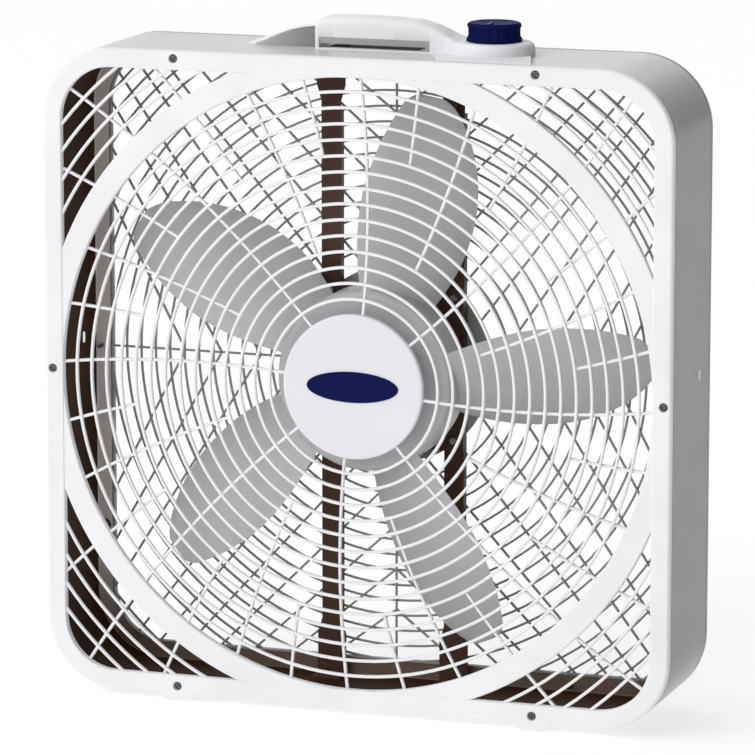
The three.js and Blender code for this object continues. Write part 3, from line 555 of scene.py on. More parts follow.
def leaning_line(base, r0, r1, steps):
    """A spoke's line: its angle grows evenly with the radius, and it ends at the frame."""
    line = []
    for i in range(steps + 1):
        r = r0 + (r1 - r0) * i / steps
        a = math.radians(base + LEAN_START + LEAN_PER_MM * r)
        point = (r * math.cos(a), r * math.sin(a))
        if r > BAND_OUTER_R and not inside_field(*point):
            break
        line.append(point)
    return line


def frame_profile(side):
    """Section of the square frame: (distance inward, y), a broad outer round and a small inner one."""
    outer, inner = FRAME_OUTER_ROUND, FRAME_INNER_ROUND
    section = [(0.4, FRAME_THICK), (0.0, FRAME_THICK - 0.4)]
    section += round_corner(0.0, outer, outer, 0.0, 6)
    section += round_corner(FRAME_WIDTH, inner, FRAME_WIDTH - inner, 0.0, 4)[::-1]
    section += [(FRAME_WIDTH, FRAME_THICK - 0.3), (FRAME_WIDTH - 0.3, FRAME_THICK)]
    return [(inward, face_y(depth, side)) for inward, depth in section]


def tab_outline(inset):
    """A round tab below the frame, with a flat to stand on."""
    drop, edge, lip = TAB_DROP - inset, -BODY_HALF, 0.6
    half = TAB_HALF - inset
    points = [(-half, edge + 8), (-half, edge + lip)]
    for i in range(1, 8):
        t = i / 8
        fall = (drop + lip) * math.sin(RIGHT_ANGLE * t) ** 0.9
        points.append((-half + (half - TAB_FLAT_HALF) * t, edge + lip - fall))
    points.append((-TAB_FLAT_HALF + inset * 0.3, edge - drop))
    return points + [(-x, z) for x, z in reversed(points)]


def rest_tab(name, x_middle, side):
    """A tab the fan stands on, with a soft edge at its face."""
    loops = []
    for inset, depth in ((1.0, 0.0), (0.35, 0.3), (0.0, 1.0), (0.0, FRAME_THICK)):
        y = face_y(depth, side)
        loops.append([(x_middle + x, y, CENTRE_Z + z) for x, z in tab_outline(inset)])
    return loft(name, loops)


def pocket_cutter(name, x, z, side):
    """A screw pocket with a broken edge, and the hole through its floor."""
    through = FRAME_THICK + 1
    profile = [(0, -1.0), (POCKET_R + 1.5, -1.0), (POCKET_R, 0.5), (POCKET_R, POCKET_DEPTH),
               (SCREW_HOLE_R, POCKET_DEPTH), (SCREW_HOLE_R, through), (0, through)]
    return lathe_y(name, [(r, face_y(d, side)) for r, d in profile], 28, x, CENTRE_Z + z)


def plate_profile(outer, depths, edge, rim_drop):
    """Half section of a round cap with a soft outer edge: (radius, depth)."""
    d0, d1 = depths
    profile = [(0, d0), (outer * 0.5, d0)]
    profile += round_corner(outer, d0 + rim_drop, outer - edge, d0, 7)[::-1]
    return profile + [(outer, d1 - 0.4), (outer - 0.4, d1), (0, d1)]


def band(name, side):
    """The broad ring, cut off where it runs under the square frame."""
    d0, d1 = PLATE_DEPTHS
    edge = 1.4
    section = round_corner(BAND_INNER_R, d0 + edge, BAND_INNER_R + edge, d0, 4)
    section += round_corner(BAND_OUTER_R, d0 + edge, BAND_OUTER_R - edge, d0, 4)[::-1]
    section += [(BAND_OUTER_R, d1), (BAND_INNER_R, d1)]
    ring = lathe_y(name, [(r, face_y(d, side)) for r, d in section], 192)
    near, far = sorted((face_y(-2, side), face_y(8, side)))
    field = prism_y("field", rounded_square(FIELD_HALF, FIELD_CORNER_R), near, far)
    return combine(ring, [field], "INTERSECT")


def frame_extras(side):
    """A grille's two rest tabs and the cutters of its six screw pockets."""
    tabs = [rest_tab("tab", x, side) for x in (-SCREW_TOP_X, SCREW_TOP_X)]
    pockets = [pocket_cutter("pocket", x, z, side) for x, z in SCREW_SITES.values()]
    return tabs, pockets


def spoke_start(k):
    """Every fourth spoke starts at the cap, the others at the fourth or tenth ring."""
    if k % 4 == 0:
        return CAP_R - 2
    return RING_FIRST_R + RING_PITCH * (3 if k % 2 == 0 else 9)


def make_front_grille():
    """The front moulding, with a slightly greyer cap."""
    side = -1
    grille = square_sweep("front_grille_moulding", frame_profile(side))
    tabs, pockets = frame_extras(side)
    bars = []
    for k in range(RING_COUNT):
        bars.append(arc_bar("ring", RING_FIRST_R + k * RING_PITCH, RING_DEPTHS, side))
    for k in range(SPOKE_COUNT):
        line = leaning_line(SPOKE_STEP * k, spoke_start(k), BAND_INNER_R + 2, 24)
        bars.append(line_bar("spoke", line, CROSSBAR_DEPTHS, side))
    bars.append(band("band", side))
    for k in range(4):
        radius = CORNER_ARC_FIRST_R + k * CORNER_ARC_PITCH
        bars += [arc_bar("arc", radius, RING_DEPTHS, side, a, b) for a, b in field_arcs(radius)]
        for offset in (-SPOKE_STEP, 0, SPOKE_STEP):
            line = leaning_line(45 + 90 * k + offset, BAND_OUTER_R - 2, SPOKE_FAR_R, 40)
            bars.append(line_bar("spoke", line, CROSSBAR_DEPTHS, side))
    profile = [(r, face_y(d, side)) for r, d in plate_profile(CAP_R, PLATE_DEPTHS, 2.0, 1.5)]
    bars.append(lathe_y("cap", profile, 96))
    combine(grille, tabs + bars, "UNION")
    combine(grille, pockets, "DIFFERENCE")
    finish_piece(grille, WHITE, "housing", ["front_grille"])
    grille.data.materials.append(CAP_WHITE)
    for face in grille.data.polygons:
        if math.hypot(face.center.x, face.center.z - CENTRE_Z * MM) < (CAP_R + 0.2) * MM:
            face.material_index = 1
    return grille


# The rear bars of a quarter start a step apart and aim at one far point.
REAR_FAR_R = 750.0
REAR_FAR_ANGLE = 50.0
REAR_BAR_STEP = 33.0


def rear_quarter_lines():
    """Straight bars of one quarter that close towards a far point, kept to that quarter's field."""
    a = math.radians(REAR_FAR_ANGLE)
    ux, uz = math.cos(a), math.sin(a)
    lines = []
    for k in range(-5, 6):
        nx, nz = -uz * k * REAR_BAR_STEP, ux * k * REAR_BAR_STEP
        inside = []
        for i in range(1801):
            t = -0.3 + 0.0005 * i
            x, z = nx + (ux * REAR_FAR_R - nx) * t, nz + (uz * REAR_FAR_R - nz) * t
            in_quarter = x > 0.2 and z > 0.2 and math.hypot(x, z) > REAR_CAP_R - 2
            if in_quarter and inside_field(x, z):
                inside.append((x, z))
        if len(inside) > 2:
            lines.append([inside[0], inside[-1]])
    return lines


def make_rear_grille():
    """The rear moulding: rings, bars that fan out in each quarter, a large cap, the cord's seat; its
    plastic is darkened as painted shade.
    """
    side = 1
    grille = square_sweep("rear_grille_moulding", frame_profile(side))
    tabs, pockets = frame_extras(side)
    bars = []
    for k in REAR_RINGS:
        radius = RING_FIRST_R + k * RING_PITCH
        for a, b in field_arcs(radius):
            bars.append(arc_bar("ring", radius, RING_DEPTHS, side, a, b, REAR_BAR))
    lines = [[(-FIELD_HALF, 0), (FIELD_HALF, 0)], [(0, -FIELD_HALF), (0, FIELD_HALF)]]
    for line in rear_quarter_lines():
        for sx, sz in ((1, 1), (-1, 1), (-1, -1), (1, -1)):
            lines.append([(sx * x, sz * z) for x, z in line])
    bars += [line_bar("bar", line, CROSSBAR_DEPTHS, side, REAR_BAR) for line in lines]
    profile = [(r, face_y(d, side)) for r, d in plate_profile(REAR_CAP_R, PLATE_DEPTHS, 4.0, 2.4)]
    bars.append(lathe_y("cap", profile, 112))
    seat = [(0, -1), (6.5, -1), (6.5, 2), (GLAND_R, 2), (GLAND_R, 7), (0, 7)]
    seat = [(r, face_y(d, side)) for r, d in seat]
    pockets.append(lathe_y("seat", seat, 36, GLAND_X, CENTRE_Z + GLAND_Z))
    combine(grille, tabs + bars, "UNION")
    combine(grille, pockets, "DIFFERENCE")
    return finish_piece(grille, REAR_GRILLE_PAINTED_SHADE, "housing", ["rear_grille"])


# ---- housing shell ------------------------------------------------------------------------
BEND_R = 1.6
WELL_X = 38.0
WELL_Y = (-6.0, 44.0)
WELL_DEPTH = 14.0
WELL_WALL = 1.6


def make_shell():
    """The steel band: rounded bends into flanges front and back, pale outside, with painted shade on
    its inner faces.
    """
    y, wall = SHELL_HALF_DEPTH, SHELL_WALL
    front = round_corner(0.0, -y + BEND_R, BEND_R, -y, 5)
    front += [(FLANGE_WIDTH, -y), (FLANGE_WIDTH, -y + wall)]
    front += round_corner(wall, -y + BEND_R + 0.4, BEND_R + 0.4, -y + wall, 3)[::-1]
    shell = square_sweep("housing_band", front + [(d, -v) for d, v in reversed(front)])
    reach = WELL_WALL + 0.2
    cutters = [block("well_hole", -WELL_X - reach, WELL_X + reach, WELL_Y[0] - reach, WELL_Y[1] + reach,
                     TOP_Z - 5, TOP_Z + 5)]
    cutters.append(plug_z("switch_hole", SWITCH_BORE_R, TOP_Z - 5, TOP_Z + 5, 32, KNOB_X, 0))
    slot_low, slot_high = (CENTRE_Z + z for z in LOCK_SLOT_Z)
    for side in (-1, 1):
        x = side * BODY_HALF
        cutters.append(block("slot", x - 3, x + 3, *LOCK_SLOT_Y, slot_low, slot_high))
    cutters.append(plug_y("gland_hole", GLAND_R, 45, 55, 32, GLAND_X, CENTRE_Z + GLAND_Z))
    combine(shell, cutters, "DIFFERENCE")
    finish_piece(shell, STEEL_GREY, "housing", ["housing_shell"], 32)
    for paint in (INSIDE_PAINTED_SHADE, FLANGE_PAINTED_SHADE):
        shell.data.materials.append(paint)
    paint_inside_shade(shell.data)
    return shell


def paint_inside_shade(mesh):
    """Painted shade inside: the wall's inner faces are dark brown, and the flanges' inner faces darken
    towards the floor.
    """
    for face in mesh.polygons:
        x, y, z = (v / MM for v in face.center)
        z -= CENTRE_Z
        nx, ny, nz = face.normal
        if abs(ny) > 0.5:
            face.material_index = 2 if ny * y < 0 else 0
        elif nx * x + nz * z < -1:
            face.material_index = 1


# ---- handle and control pod ---------------------------------------------------------------
HANDLE_TIP_X = -108.0
HANDLE_STEP_X = -46.0
BAR_END_X = 53.0
BAR_Y = (-13.0, 14.0)
POD_CENTRE_X = 97.5
POD_HALF = (33.0, 28.0)
RAMP_RISE = [(-108, 0.8), (-104, 2.4), (-97, 5), (-88, 8.6), (-79, 12), (-70, 14.7), (-60, 16.6),
             (-46, 18)]
RAMP_FRONT = [(-108, 5), (-105, 1.6), (-99, 0), (-46, 0)]
RAMP_BACK = [(-108, 6), (-105, 9), (-99, 12), (-46, 12)]
RAMP_CROWN = [(-108, 4.5), (-92, 4.5), (-84, 3.8), (-72, 2.4), (-60, 1.6), (-46, 1.2)]
BAR_RISE = [(-46, 21.8), (-44.5, 23.6), (-42, 24.8), (-39, 25.4), (-22, 26.2), (-4, 26.4), (16, 26),
            (38, 24.6), (50, 21.6), (59, 17.6), (66, 13.6), (73, 11.1), (79, 10.8), (140, 10.8)]
SHOULDER_HALF = [(50, 13), (62, 14.5), (79, 22.6)]
SOFT_EDGE = 5.5
POD_LEVELS = [(1.0, 0.0), (1.0, 5.2), (0.992, 7.5), (0.968, 9.2), (0.935, 10.3), (0.89, POD_HEIGHT)]
GAP_X = (-43.0, 49.0)
BASE_OUTLINE = [(68, -50.65), (144, -50.65), (112, 50.65), (60, 50.65), (60, -10), (53, -10), (53, -13)]
BASE_THICK = 1.6
RIM_END_X = 60.0
RIM_THICK = 1.4
RIM_REACH = 3.0
# (y, height) outlines of the hollow under the bar: its front slit, the inside, the way in at the back.
BAR_HOLLOWS = [
    [(-30, 1.4), (-8, 1.4), (-8, 4.6), (-10.7, 4.6), (-11.3, 5.4), (-13.1, 10.4), (-13.2, 10.8),
     (-30, 10.8)],
    [(-8.8, 1.4), (11, 1.4), (11, 15.5), (8, 18.3), (-6, 18.3), (-8.8, 15.5)],
    [(10, 1.4), (60, 1.4), (60, 12.6), (14.1, 12.6), (13.6, 11.2), (12.2, 10), (10, 10)],
]


def along(table, x):
    """Value at x of a table of (x, value) points."""
    for (x0, v0), (x1, v1) in zip(table, table[1:]):
        if x <= x1:
            t = min(max((x - x0) / (x1 - x0), 0), 1)
            return v0 + (v1 - v0) * t
    return table[-1][1]


def arch_section(x, front, back, top, crown):
    """A loop across the handle at one x: upright sides that turn over into a soft top."""
    radius = min(crown, top * 0.9, (back - front) * 0.46)
    upright = top - radius
    section = [(front, 0), (front, upright * 0.5)]
    section += round_corner(front, upright, front + radius, top, 7)
    section += round_corner(back, upright, back - radius, top, 7)[::-1]
    section += [(back, upright * 0.5), (back, 0)]
    return [(x, y, TOP_Z + z) for y, z in section]


def make_ramp():
    """The low ramp that climbs from the shell to the left end of the bar."""
    loops = []
    for i in range(33):
        x = HANDLE_TIP_X + (HANDLE_STEP_X + 2 - HANDLE_TIP_X) * i / 32
        sizes = [along(table, x) for table in (RAMP_FRONT, RAMP_BACK, RAMP_RISE, RAMP_CROWN)]
        loops.append(arch_section(x, *sizes))
    return loft("handle_and_pod", loops)


def make_bar():
    """The bar that is gripped, still solid, with a soft top and an eased left end."""
    loops = []
    for i in range(49):
        x = HANDLE_STEP_X + (BAR_END_X + 4 - HANDLE_STEP_X) * i / 48
        ease = 0.5 if i == 0 else 0.0
        top = along(BAR_RISE, x) - ease
        loops.append(arch_section(x, BAR_Y[0] + ease, BAR_Y[1] - ease, top, SOFT_EDGE))
    return loft("bar", loops)


def make_pod():
    """An oval dome that carries the knob and flows up into the bar."""
    loops = []
    for scale, height in POD_LEVELS:
        loop = []
        for a in turns(72):
            x = POD_CENTRE_X + POD_HALF[0] * scale * math.cos(a)
            y = POD_HALF[1] * scale * math.sin(a)
            loop.append((x, y, TOP_Z + height))
        loops.append(loop)
    dome = loft("pod", loops)
    shoulder = []
    start, end = SHOULDER_HALF[0][0], SHOULDER_HALF[-1][0]
    for i in range(25):
        x = start + (end - start) * i / 24
        half = along(SHOULDER_HALF, x)
        shoulder.append(arch_section(x, -half, half + 0.6, along(BAR_RISE, x), SOFT_EDGE))
    return combine(dome, [loft("shoulder", shoulder)], "UNION")


def base_plate():
    """The thin plate under the pod; its upper edge draws in a little towards the knob."""
    loops = []
    for height, scale in ((0.0, 1.0), (BASE_THICK - 0.5, 1.0), (BASE_THICK, 0.988)):
        z = TOP_Z + height
        loops.append([(KNOB_X + (x - KNOB_X) * scale, y * scale, z) for x, y in BASE_OUTLINE])
    return loft("base", loops)


def bar_openings():
    """The hollow under the bar: a slit at the front, a wide way in at the back, and the inside."""
    cutters = []
    for outline in BAR_HOLLOWS:
        cutters.append(loft("gap", [[(x, y, TOP_Z + z) for y, z in outline] for x in GAP_X]))
    return cutters


def make_handle():
    """The handle moulding: ramp, bar, pod and base plate, and the finger well's tub and rim."""
    body = make_ramp()
    y0, y1 = WELL_Y
    outer = WELL_X + WELL_WALL
    parts = [make_bar(), make_pod(), base_plate()]
    parts.append(block("rim", HANDLE_STEP_X, RIM_END_X, y0 - RIM_REACH, BAR_Y[1],
                       TOP_Z, TOP_Z + RIM_THICK))
    parts.append(block("rim_back", -WELL_X - RIM_REACH, WELL_X + RIM_REACH, y0, y1 + RIM_REACH,
                       TOP_Z, TOP_Z + RIM_THICK))
    parts.append(block("tub", -outer, outer, y0 - WELL_WALL, y1 + WELL_WALL,
                       TOP_Z - WELL_DEPTH - WELL_WALL, TOP_Z + 1))
    cutters = [block("well", -WELL_X, WELL_X, y0, y1, TOP_Z - WELL_DEPTH, TOP_Z + 3), *bar_openings()]
    cutters.append(plug_z("bore", SWITCH_BORE_R, TOP_Z - 5, TOP_Z + 30, 32, KNOB_X, 0))
    combine(body, parts, "UNION")
    combine(body, cutters, "DIFFERENCE")
    finish_piece(body, WHITE, "housing", ["handle_housing"], 40)
    # Painted shade: dark well walls, a grey ramp side and a grey turned-under bar front.
    for paint in (WELL_PAINTED_SHADE, RAMP_SIDE_PAINTED_SHADE, UNDER_BAR_PAINTED_SHADE):
        body.data.materials.append(paint)
    paint_handle_shade(body.data)
    return body


def paint_handle_shade(mesh):
    """Painted shade: dark walls in the finger well; grey on the ramp's side and the bar's turned-under
    front.
    """
    y0, y1 = WELL_Y
    for face in mesh.polygons:
        x, y, z = (v / MM for v in face.center)
        rise = z - TOP_Z
        in_well = abs(x) < WELL_X + 0.1 and y0 - 0.1 < y < y1 + 0.1
        if in_well and -WELL_DEPTH - 0.1 < rise < RIM_THICK:
            face.material_index = 1
            continue
        on_ramp = HANDLE_TIP_X + 8 < x < HANDLE_STEP_X and y > -1 and rise > 0.1
        in_slit = -13.1 < y < -10.6 and 4.6 < rise < 10.8 and abs(x) < 50
        if on_ramp and face.normal.y < -0.9:
            face.material_index = 2
        elif in_slit and face.normal.y < -0.5 and face.normal.z < -0.1:
            face.material_index = 3


# ---- knob ---------------------------------------------------------------------------------
FLUTES = 18
FLUTE_DEPTH = 0.9
KNOB_LIFT = 0.6
KNOB_BORE_R = 3.06
# Height, growth of the radius and share of the flute, up the knob's side and in over its top.
KNOB_LEVELS = [
    (0.0, 0.3, 0), (1.5, 0.3, 0), (2.0, 0.0, 0), (2.8, -0.8, 1), (5.0, -1.2, 1), (9.0, -1.2, 1),
    (10.6, -0.8, 1), (11.4, -0.3, 0), (12.6, -0.4, 0), (13.5, -0.9, 0), (14.15, -1.9, 0),
    (14.4, -3.1, 0), (14.2, -5.0, 0), (13.9, -8.4, 0), (13.75, -13.6, 0), (13.7, -19.6, 0),
]


def make_knob():
    """Fluted knob: a smooth skirt, fluted waist, eased shoulder, dished top and a raised pointer."""
    z0 = TOP_Z + POD_HEIGHT + KNOB_LIFT
    loops = []
    for height, grow, flute in KNOB_LEVELS:
        loop = []
        for a in turns(FLUTES * 12):
            groove = max(0.0, math.cos(FLUTES * a)) ** 0.7
            r = KNOB_R + grow - FLUTE_DEPTH * flute * groove
            loop.append((KNOB_X + r * math.cos(a), r * math.sin(a), z0 + height))
        loops.append(loop)
    knob = loft("speed_knob_moulding", loops)
    pointer = []
    for inset, height in ((0.0, 13.0), (0.0, 14.6), (0.4, 14.9)):
        half, tip, tail = 1.2 - inset, -KNOB_R + 2.6 + inset, -5 - inset
        outline = [(-half, tail), (-half, tip + 1.2), (0, tip), (half, tip + 1.2), (half, tail)]
        pointer.append([(KNOB_X + x, y, z0 + height) for x, y in outline])
    combine(knob, [loft("pointer", pointer)], "UNION")
    combine(knob, [plug_z("bore", KNOB_BORE_R, z0 - 1, z0 + 8, 32, KNOB_X, 0)], "DIFFERENCE")
    finish_piece(knob, NAVY, "speed_control", ["speed_knob"], 50)
    # Painted highlight: the pointer's top faces are a lighter blue.
    knob.data.materials.append(POINTER_PAINTED_HIGHLIGHT)
    for face in knob.data.polygons:
        if face.center.z > (z0 + 14.5) * MM:
            face.material_index = 1
    return knob


# ---- fan ----------------------------------------------------------------------------------
HUB_R = 73.0
HUB_FRONT_Y = -30.0
HUB_BACK_Y = 9.0
HUB_WALL = 2.6
SHAFT_BORE_R = 4.05
BLADE_COUNT = 5
BLADE_STEP = 360 / BLADE_COUNT
# Radius, then angle and y of the front edge, then angle and y of the back edge.
BLADE_STATIONS = [
    (69, 20.6, -27.5, -22.2, 7.5), (90, 21.0, -29.0, -20.6, 12.5), (115, 20.8, -28.0, -17.9, 17.5),
    (145, 19.4, -24.0, -13.8, 19.5), (172, 17.0, -18.5, -9.6, 17.0), (195, 14.6, -12.5, -5.4, 13.0),
    (212, 12.6, -8.0, -1.8, 9.0), (224, 11.0, -5.0, 1.2, 5.5), (230, 9.0, -2.5, 3.6, 2.0),
]
BLADE_THICK = 2.2
BLADE_CAMBER = 4.5
BLADE_FLAT_R = 232.0


def spline(rows, t):
    """Smooth row of numbers between the rows of a table, with t from 0 to 1."""
    u = t * (len(rows) - 1)
    i = min(int(u), len(rows) - 2)
    f = u - i
    p0, p1, p2, p3 = rows[max(i - 1, 0)], rows[i], rows[i + 1], rows[min(i + 2, len(rows) - 1)]
    return [0.5 * (2 * b + (c - a) * f + (2 * a - 5 * b + 4 * c - d) * f * f
                   + (3 * b - a - 3 * c + d) * f ** 3) for a, b, c, d in zip(p0, p1, p2, p3)]


def blade_point(station, s, offset):
    """Radius, angle and y at s across a blade (0 front, 1 back); the bow fades out to the tip."""
    r, front_angle, front_y, back_angle, back_y = station
    a = math.radians(front_angle + (back_angle - front_angle) * s)
    bow = BLADE_CAMBER * 4 * s * (1 - s) * min(1.0, (BLADE_FLAT_R - r) / 60)
    return r, a, front_y + (back_y - front_y) * s - bow + offset


def make_blade(turn):
    """A twisted, cambered blade with rounded edges, thinning towards its tip."""
    across = 14
    loops = []
    for i in range(37):
        station = spline(BLADE_STATIONS, i / 36)
        thick = BLADE_THICK * (1.0 - 0.35 * (i / 36)) * (0.55 if i == 36 else 1)
        loop = []
        for side in (-1, 1):
            order = range(across + 1) if side < 0 else range(across, -1, -1)
            for j in order:
                s = j / across
                edge = math.sqrt(max(0.0, 1 - abs(2 * s - 1) ** 9))
                r, a, y = blade_point(station, s, side * thick / 2 * max(edge, 0.25))
                a += math.radians(turn)
                loop.append((r * math.cos(a), y, CENTRE_Z + r * math.sin(a)))
        loops.append(loop)
    return loft("blade", loops)


def make_impeller():
    """Hub with a ring on its face, five blades cut off at the hub's wall, and ribs inside."""
    front, back, inside = HUB_FRONT_Y, HUB_BACK_Y, HUB_R - HUB_WALL
    profile = [(SHAFT_BORE_R, front - 1.5), (10.4, front - 1.5), (11.2, front - 1.2), (13.2, front)]
    profile += [(30, front), (30.6, front + 0.5), (33.4, front + 0.5), (34, front)]
    profile += round_corner(HUB_R, front + 6, HUB_R - 6, front, 8)[::-1]
    profile += [(HUB_R, back - 0.6), (HUB_R - 0.6, back), (inside + 0.6, back), (inside, back - 0.6)]
    profile += [(inside, front + 6), (HUB_R - 7, front + HUB_WALL), (12, front + HUB_WALL)]
    profile += [(11, front + HUB_WALL + 1), (10.4, -1), (SHAFT_BORE_R, -1)]
    hub = lathe_y("fan_moulding", profile, 128)
    parts = []
    for k in range(BLADE_COUNT):
        blade = make_blade(BLADE_STEP * k)
        core = plug_y("core", inside + 0.2, -60, 60, 128)
        parts.append(combine(blade, [core], "DIFFERENCE"))
    for k in range(BLADE_COUNT):
        parts.append(hub_rib(math.radians(BLADE_STEP * (k + 0.5))))
    combine(hub, parts, "UNION")
    return finish_piece(hub, BLADE, "fan_rotor", ["fan_impeller"], 40)


def hub_rib(a):
    """A rib from the boss to the hub's wall; it is low at the boss and tall at the wall."""
    front = HUB_FRONT_Y + 2
    cos, sin = math.cos(a), math.sin(a)
    loops = []
    for r, back in ((10.5, -26), (HUB_R - 2, 4)):
        section = ((front, -0.9), (front, 0.9), (back, 0.7), (back, -0.7))
        loops.append([(r * cos - w * sin, y, CENTRE_Z + r * sin + w * cos) for y, w in section])
    return loft("rib", loops)


# ---- badge and screws ---------------------------------------------------------------------
# Half width, half height and y of the ovals that form the badge, from its foot to its middle.
BADGE_OVALS = [(38, 12.3, 0.0), (38, 12.3, -0.55), (37.6, 11.9, -0.9), (36.4, 10.7, -0.9),
               (35.9, 10.2, -0.45), (24, 7, -0.42), (8, 2.4, -0.42)]
SCREW_LENGTH = 14


def make_badge():
    """A plain oval plate with a raised rim on the front cap."""
    back = -HALF_DEPTH + PLATE_DEPTHS[0]
    loops = []
    for rx, rz, y in BADGE_OVALS:
        loops.append([(rx * math.cos(a), back + y, CENTRE_Z + rz * math.sin(a)) for a in turns(96)])
    return finish_piece(loft("badge_plate", loops), NAVY, "housing", ["cap_badge"], 50)


def screw_head(name, x, z, side, node):
    """Pan-head screw with a cross recess, sunk in its pocket."""
    seat = side * (HALF_DEPTH - POCKET_DEPTH)
    tip = seat - side * SCREW_LENGTH
    head = [(0, 1.95), (1.4, 1.9), (2.3, 1.6), (2.9, 1.1), (3.2, 0.5), (3.2, 0), (1.6, 0)]
    profile = [(r, seat + side * h) for r, h in head] + [(1.6, tip + side * 2), (0, tip)]
    screw = lathe_y(name, profile, 32, x, CENTRE_Z + z)
    arms = []
    for w, h in ((2.0, 0.42), (0.42, 2.0)):
        ys = sorted((seat + side * 0.7, seat + side * 3))
        arms.append(block("arm", x - w, x + w, *ys, CENTRE_Z + z - h, CENTRE_Z + z + h))
    combine(screw, arms, "DIFFERENCE")
    return finish_piece(screw, SCREW_STEEL, "housing", [node], 40)


# ---- motor and struts ---------------------------------------------------------------------
def paint_node(node, paint, bevel=0.0, angle=35):
    """A CAD part whose shape is right: its finish, a fine edge round and smooth shading."""
    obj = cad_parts[node]
    obj.data.materials.clear()
    obj.data.materials.append(paint)
    if bevel:
        edge = obj.modifiers.new("edge", "BEVEL")
        edge.width = bevel * MM
        edge.segments = 2
        edge.limit_method = "ANGLE"
        edge.angle_limit = math.radians(40)
        edge.harden_normals = False
    smooth(obj, angle)


BELL_R = 44.0
BELL_MIDDLE_R = 43.0
MOTOR_BOLT_X = 37.0
BOLT_HOLE_R = 2.3
WINDOW_R = 4.6
WINDOW_RING_R = 27.0
WINDING_R = 35.1
COIL_HALF = 6.0


def make_bell(name, node, face, seat):
    """A pressed end bell with a bearing boss and cooling windows."""
    side = 1 if seat > face else -1
    outline = [(9.15, -3), (12.2, -3), (13, -2.4), (13.4, -0.4), (15, 0), (37, 0), (41.5, 1.3),
               (BELL_R - 0.4, 3.6), (BELL_R, 6), (BELL_R, 10), (BELL_R - 2, 10), (BELL_R - 2, 6.6),
               (37, 2), (9.15, 2)]
    bell = lathe_y(name, [(r, face + side * d) for r, d in outline], 72)
    low, high = sorted((seat - side * 2, seat))
    plate = prism_y("plate", rounded_square(45, 8, 6), low, high)
    combine(plate, [plug_y("middle", BELL_MIDDLE_R, low - 1, high + 1, 72)], "DIFFERENCE")
    combine(bell, [plate], "UNION")
    cutters = []
    for k in range(8):
        a = math.radians(45 * k + 22.5)
        x, z = WINDOW_RING_R * math.cos(a), CENTRE_Z + WINDOW_RING_R * math.sin(a)
        cutters.append(plug_y("window", WINDOW_R, face - side, face + side * 4, 24, x, z))
    for x in (-MOTOR_BOLT_X, MOTOR_BOLT_X):
        for z in (-MOTOR_BOLT_X, MOTOR_BOLT_X):
            cutters.append(plug_y("hole", BOLT_HOLE_R, low - 1, high + 1, 20, x, CENTRE_Z + z))
    combine(bell, cutters, "DIFFERENCE")
    return finish_piece(bell, ZINC, "housing", [node])


def make_winding(name, node, y0, y1):
    """A coil end: a fat wound ring tied at intervals."""
    mid, half = (y0 + y1) / 2, (y1 - y0) / 2
    loops = []
    for a in turns(144):
        tie = 0.35 * max(0.0, math.cos(12 * a)) ** 12
        loop = []
        for b in turns(16):
            r = WINDING_R + (COIL_HALF - tie) * math.cos(b)
            y = mid + (half - tie) * math.sin(b)
            loop.append((r * math.cos(a), y, CENTRE_Z + r * math.sin(a)))
        loops.append(loop)
    return finish_piece(loft(name, loops, wrap=True), COPPER, "housing", [node], 60)


def paint_cad_nodes():
    """Finishes for the pieces that keep their CAD shape."""
    paint_node("stator_core", LAMINATIONS, 0.3)
    paint_node("motor_rotor", LAMINATIONS)
    paint_node("motor_shaft", ZINC)
    paint_node("hub_clip", ZINC, 0.2)
    for node in ("motor_bearing_front", "motor_bearing_back"):
        paint_node(node, BRONZE, 0.3)
    for i in range(1, 5):
        paint_node(f"motor_bolt_{i}", ZINC, 0.2)
        paint_node(f"motor_nut_{i}", ZINC, 0.25)
        paint_node(f"bracket_screw_{i}", ZINC, 0.2)
        paint_node(f"strut_screw_{i}", SCREW_STEEL, 0.2)
    # Painted shade: struts and brackets take the dark brown shaded tone.
    for node in ("motor_strut_left", "motor_strut_right", "motor_bracket_upper", "motor_bracket_lower"):
        paint_node(node, STRUT_PAINTED_SHADE, 0.35)
    for node in ("motor_lead", "lead_clip_lower", "lead_clip_upper", "cord_gland", "switch_body"):
        paint_node(node, BLACK, 0.25 if "lead" not in node else 0.0, 50)
    for node in ("switch_shaft", "switch_nut"):
        paint_node(node, ZINC, 0.15)


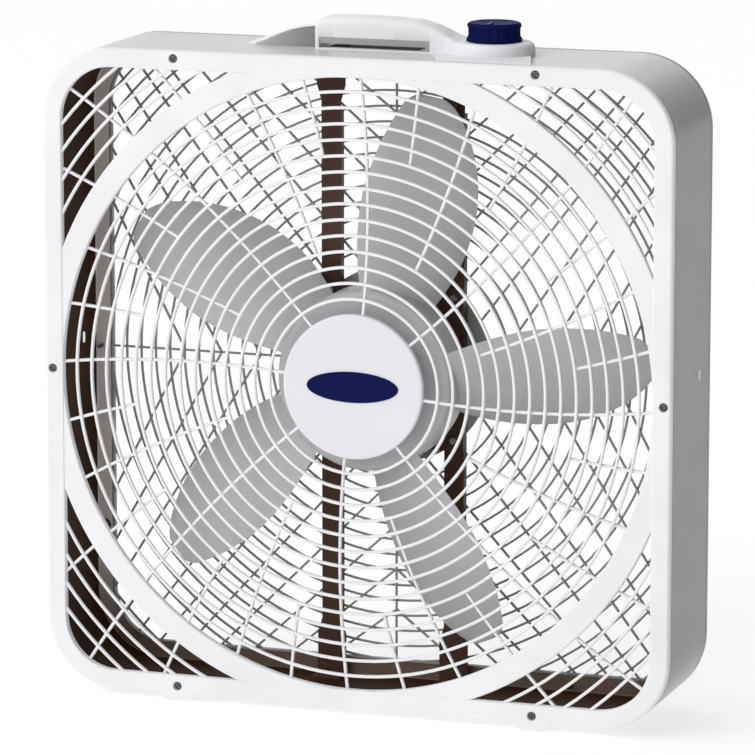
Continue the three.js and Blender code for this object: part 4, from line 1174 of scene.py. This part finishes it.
# ---- studio -------------------------------------------------------------------------------
def make_floor():
    """A wide matt floor with a glow of its own, so that it turns white."""
    floor = bpy.data.meshes.new("floor")
    reach = 14.0
    corners = [(-reach, -reach, 0), (reach, -reach, 0), (reach, reach, 0), (-reach, reach, 0)]
    floor.from_pydata(corners, [], [(0, 1, 2, 3)])
    obj = bpy.data.objects.new("floor", floor)
    SCENE.collection.objects.link(obj)
    material, shader = new_material("floor_white", 0.9, specular=0.0)
    set_inputs(shader, {"Base Color": (0.5, 0.5, 0.5, 1), "Emission Color": (1, 1, 1, 1),
                        "Emission Strength": 0.62})
    floor.materials.append(material)


# Sky brightness across the studio, from the fan's left (-1) to its right (+1).
SKY = [(-1.0, 0.25), (-0.78, 0.95), (-0.05, 1.0), (0.72, 0.0)]


def make_light():
    """A bright soft sky that falls off to both sides, most to the right, and one large soft light."""
    world = bpy.data.worlds.new("studio")
    world.use_nodes = True
    SCENE.world = world
    nodes, links = world.node_tree.nodes, world.node_tree.links
    spread = nodes.new("ShaderNodeMapRange")
    set_inputs(spread, {"From Min": -1.0, "From Max": 1.0})
    fade = nodes.new("ShaderNodeValToRGB")
    stops = fade.color_ramp.elements
    while len(stops) < len(SKY):
        stops.new(0.5)
    for stop, (where_x, level) in zip(stops, SKY):
        stop.position = (where_x + 1) / 2
        stop.color = (level, level, level, 1)
    links.new(coordinate(world.node_tree, "Generated", "X"), spread.inputs["Value"])
    links.new(spread.outputs["Result"], fade.inputs["Fac"])
    background = nodes["Background"]
    set_inputs(background, {"Strength": 1.08})
    links.new(fade.outputs["Color"], background.inputs["Color"])
    data = bpy.data.lights.new("key", "AREA")
    data.shape = "RECTANGLE"
    data.size = 2.2
    data.size_y = 1.6
    data.energy = 34
    key = bpy.data.objects.new("key", data)
    key.location = (-1.6, -2.6, 2.4)
    key.rotation_euler = (math.radians(52), 0, math.radians(-32))
    SCENE.collection.objects.link(key)


SCENE.view_settings.view_transform = "Standard"

make_shell()
make_front_grille()
make_rear_grille()
make_handle()
make_knob()
make_impeller()
make_badge()
for label, (x, z) in SCREW_SITES.items():
    screw_head(f"front_screw_head_{label}", x, z, -1, f"front_screw_{label}")
    screw_head(f"rear_screw_head_{label}", x, z, 1, f"rear_screw_{label}")
make_bell("front_bell", "motor_bell_front", 4, 14)
make_bell("back_bell", "motor_bell_back", 40, 30)
make_winding("front_coil", "winding_front", 8.4, 14)
make_winding("back_coil", "winding_back", 30, 35.6)
paint_cad_nodes()
make_floor()
make_light()
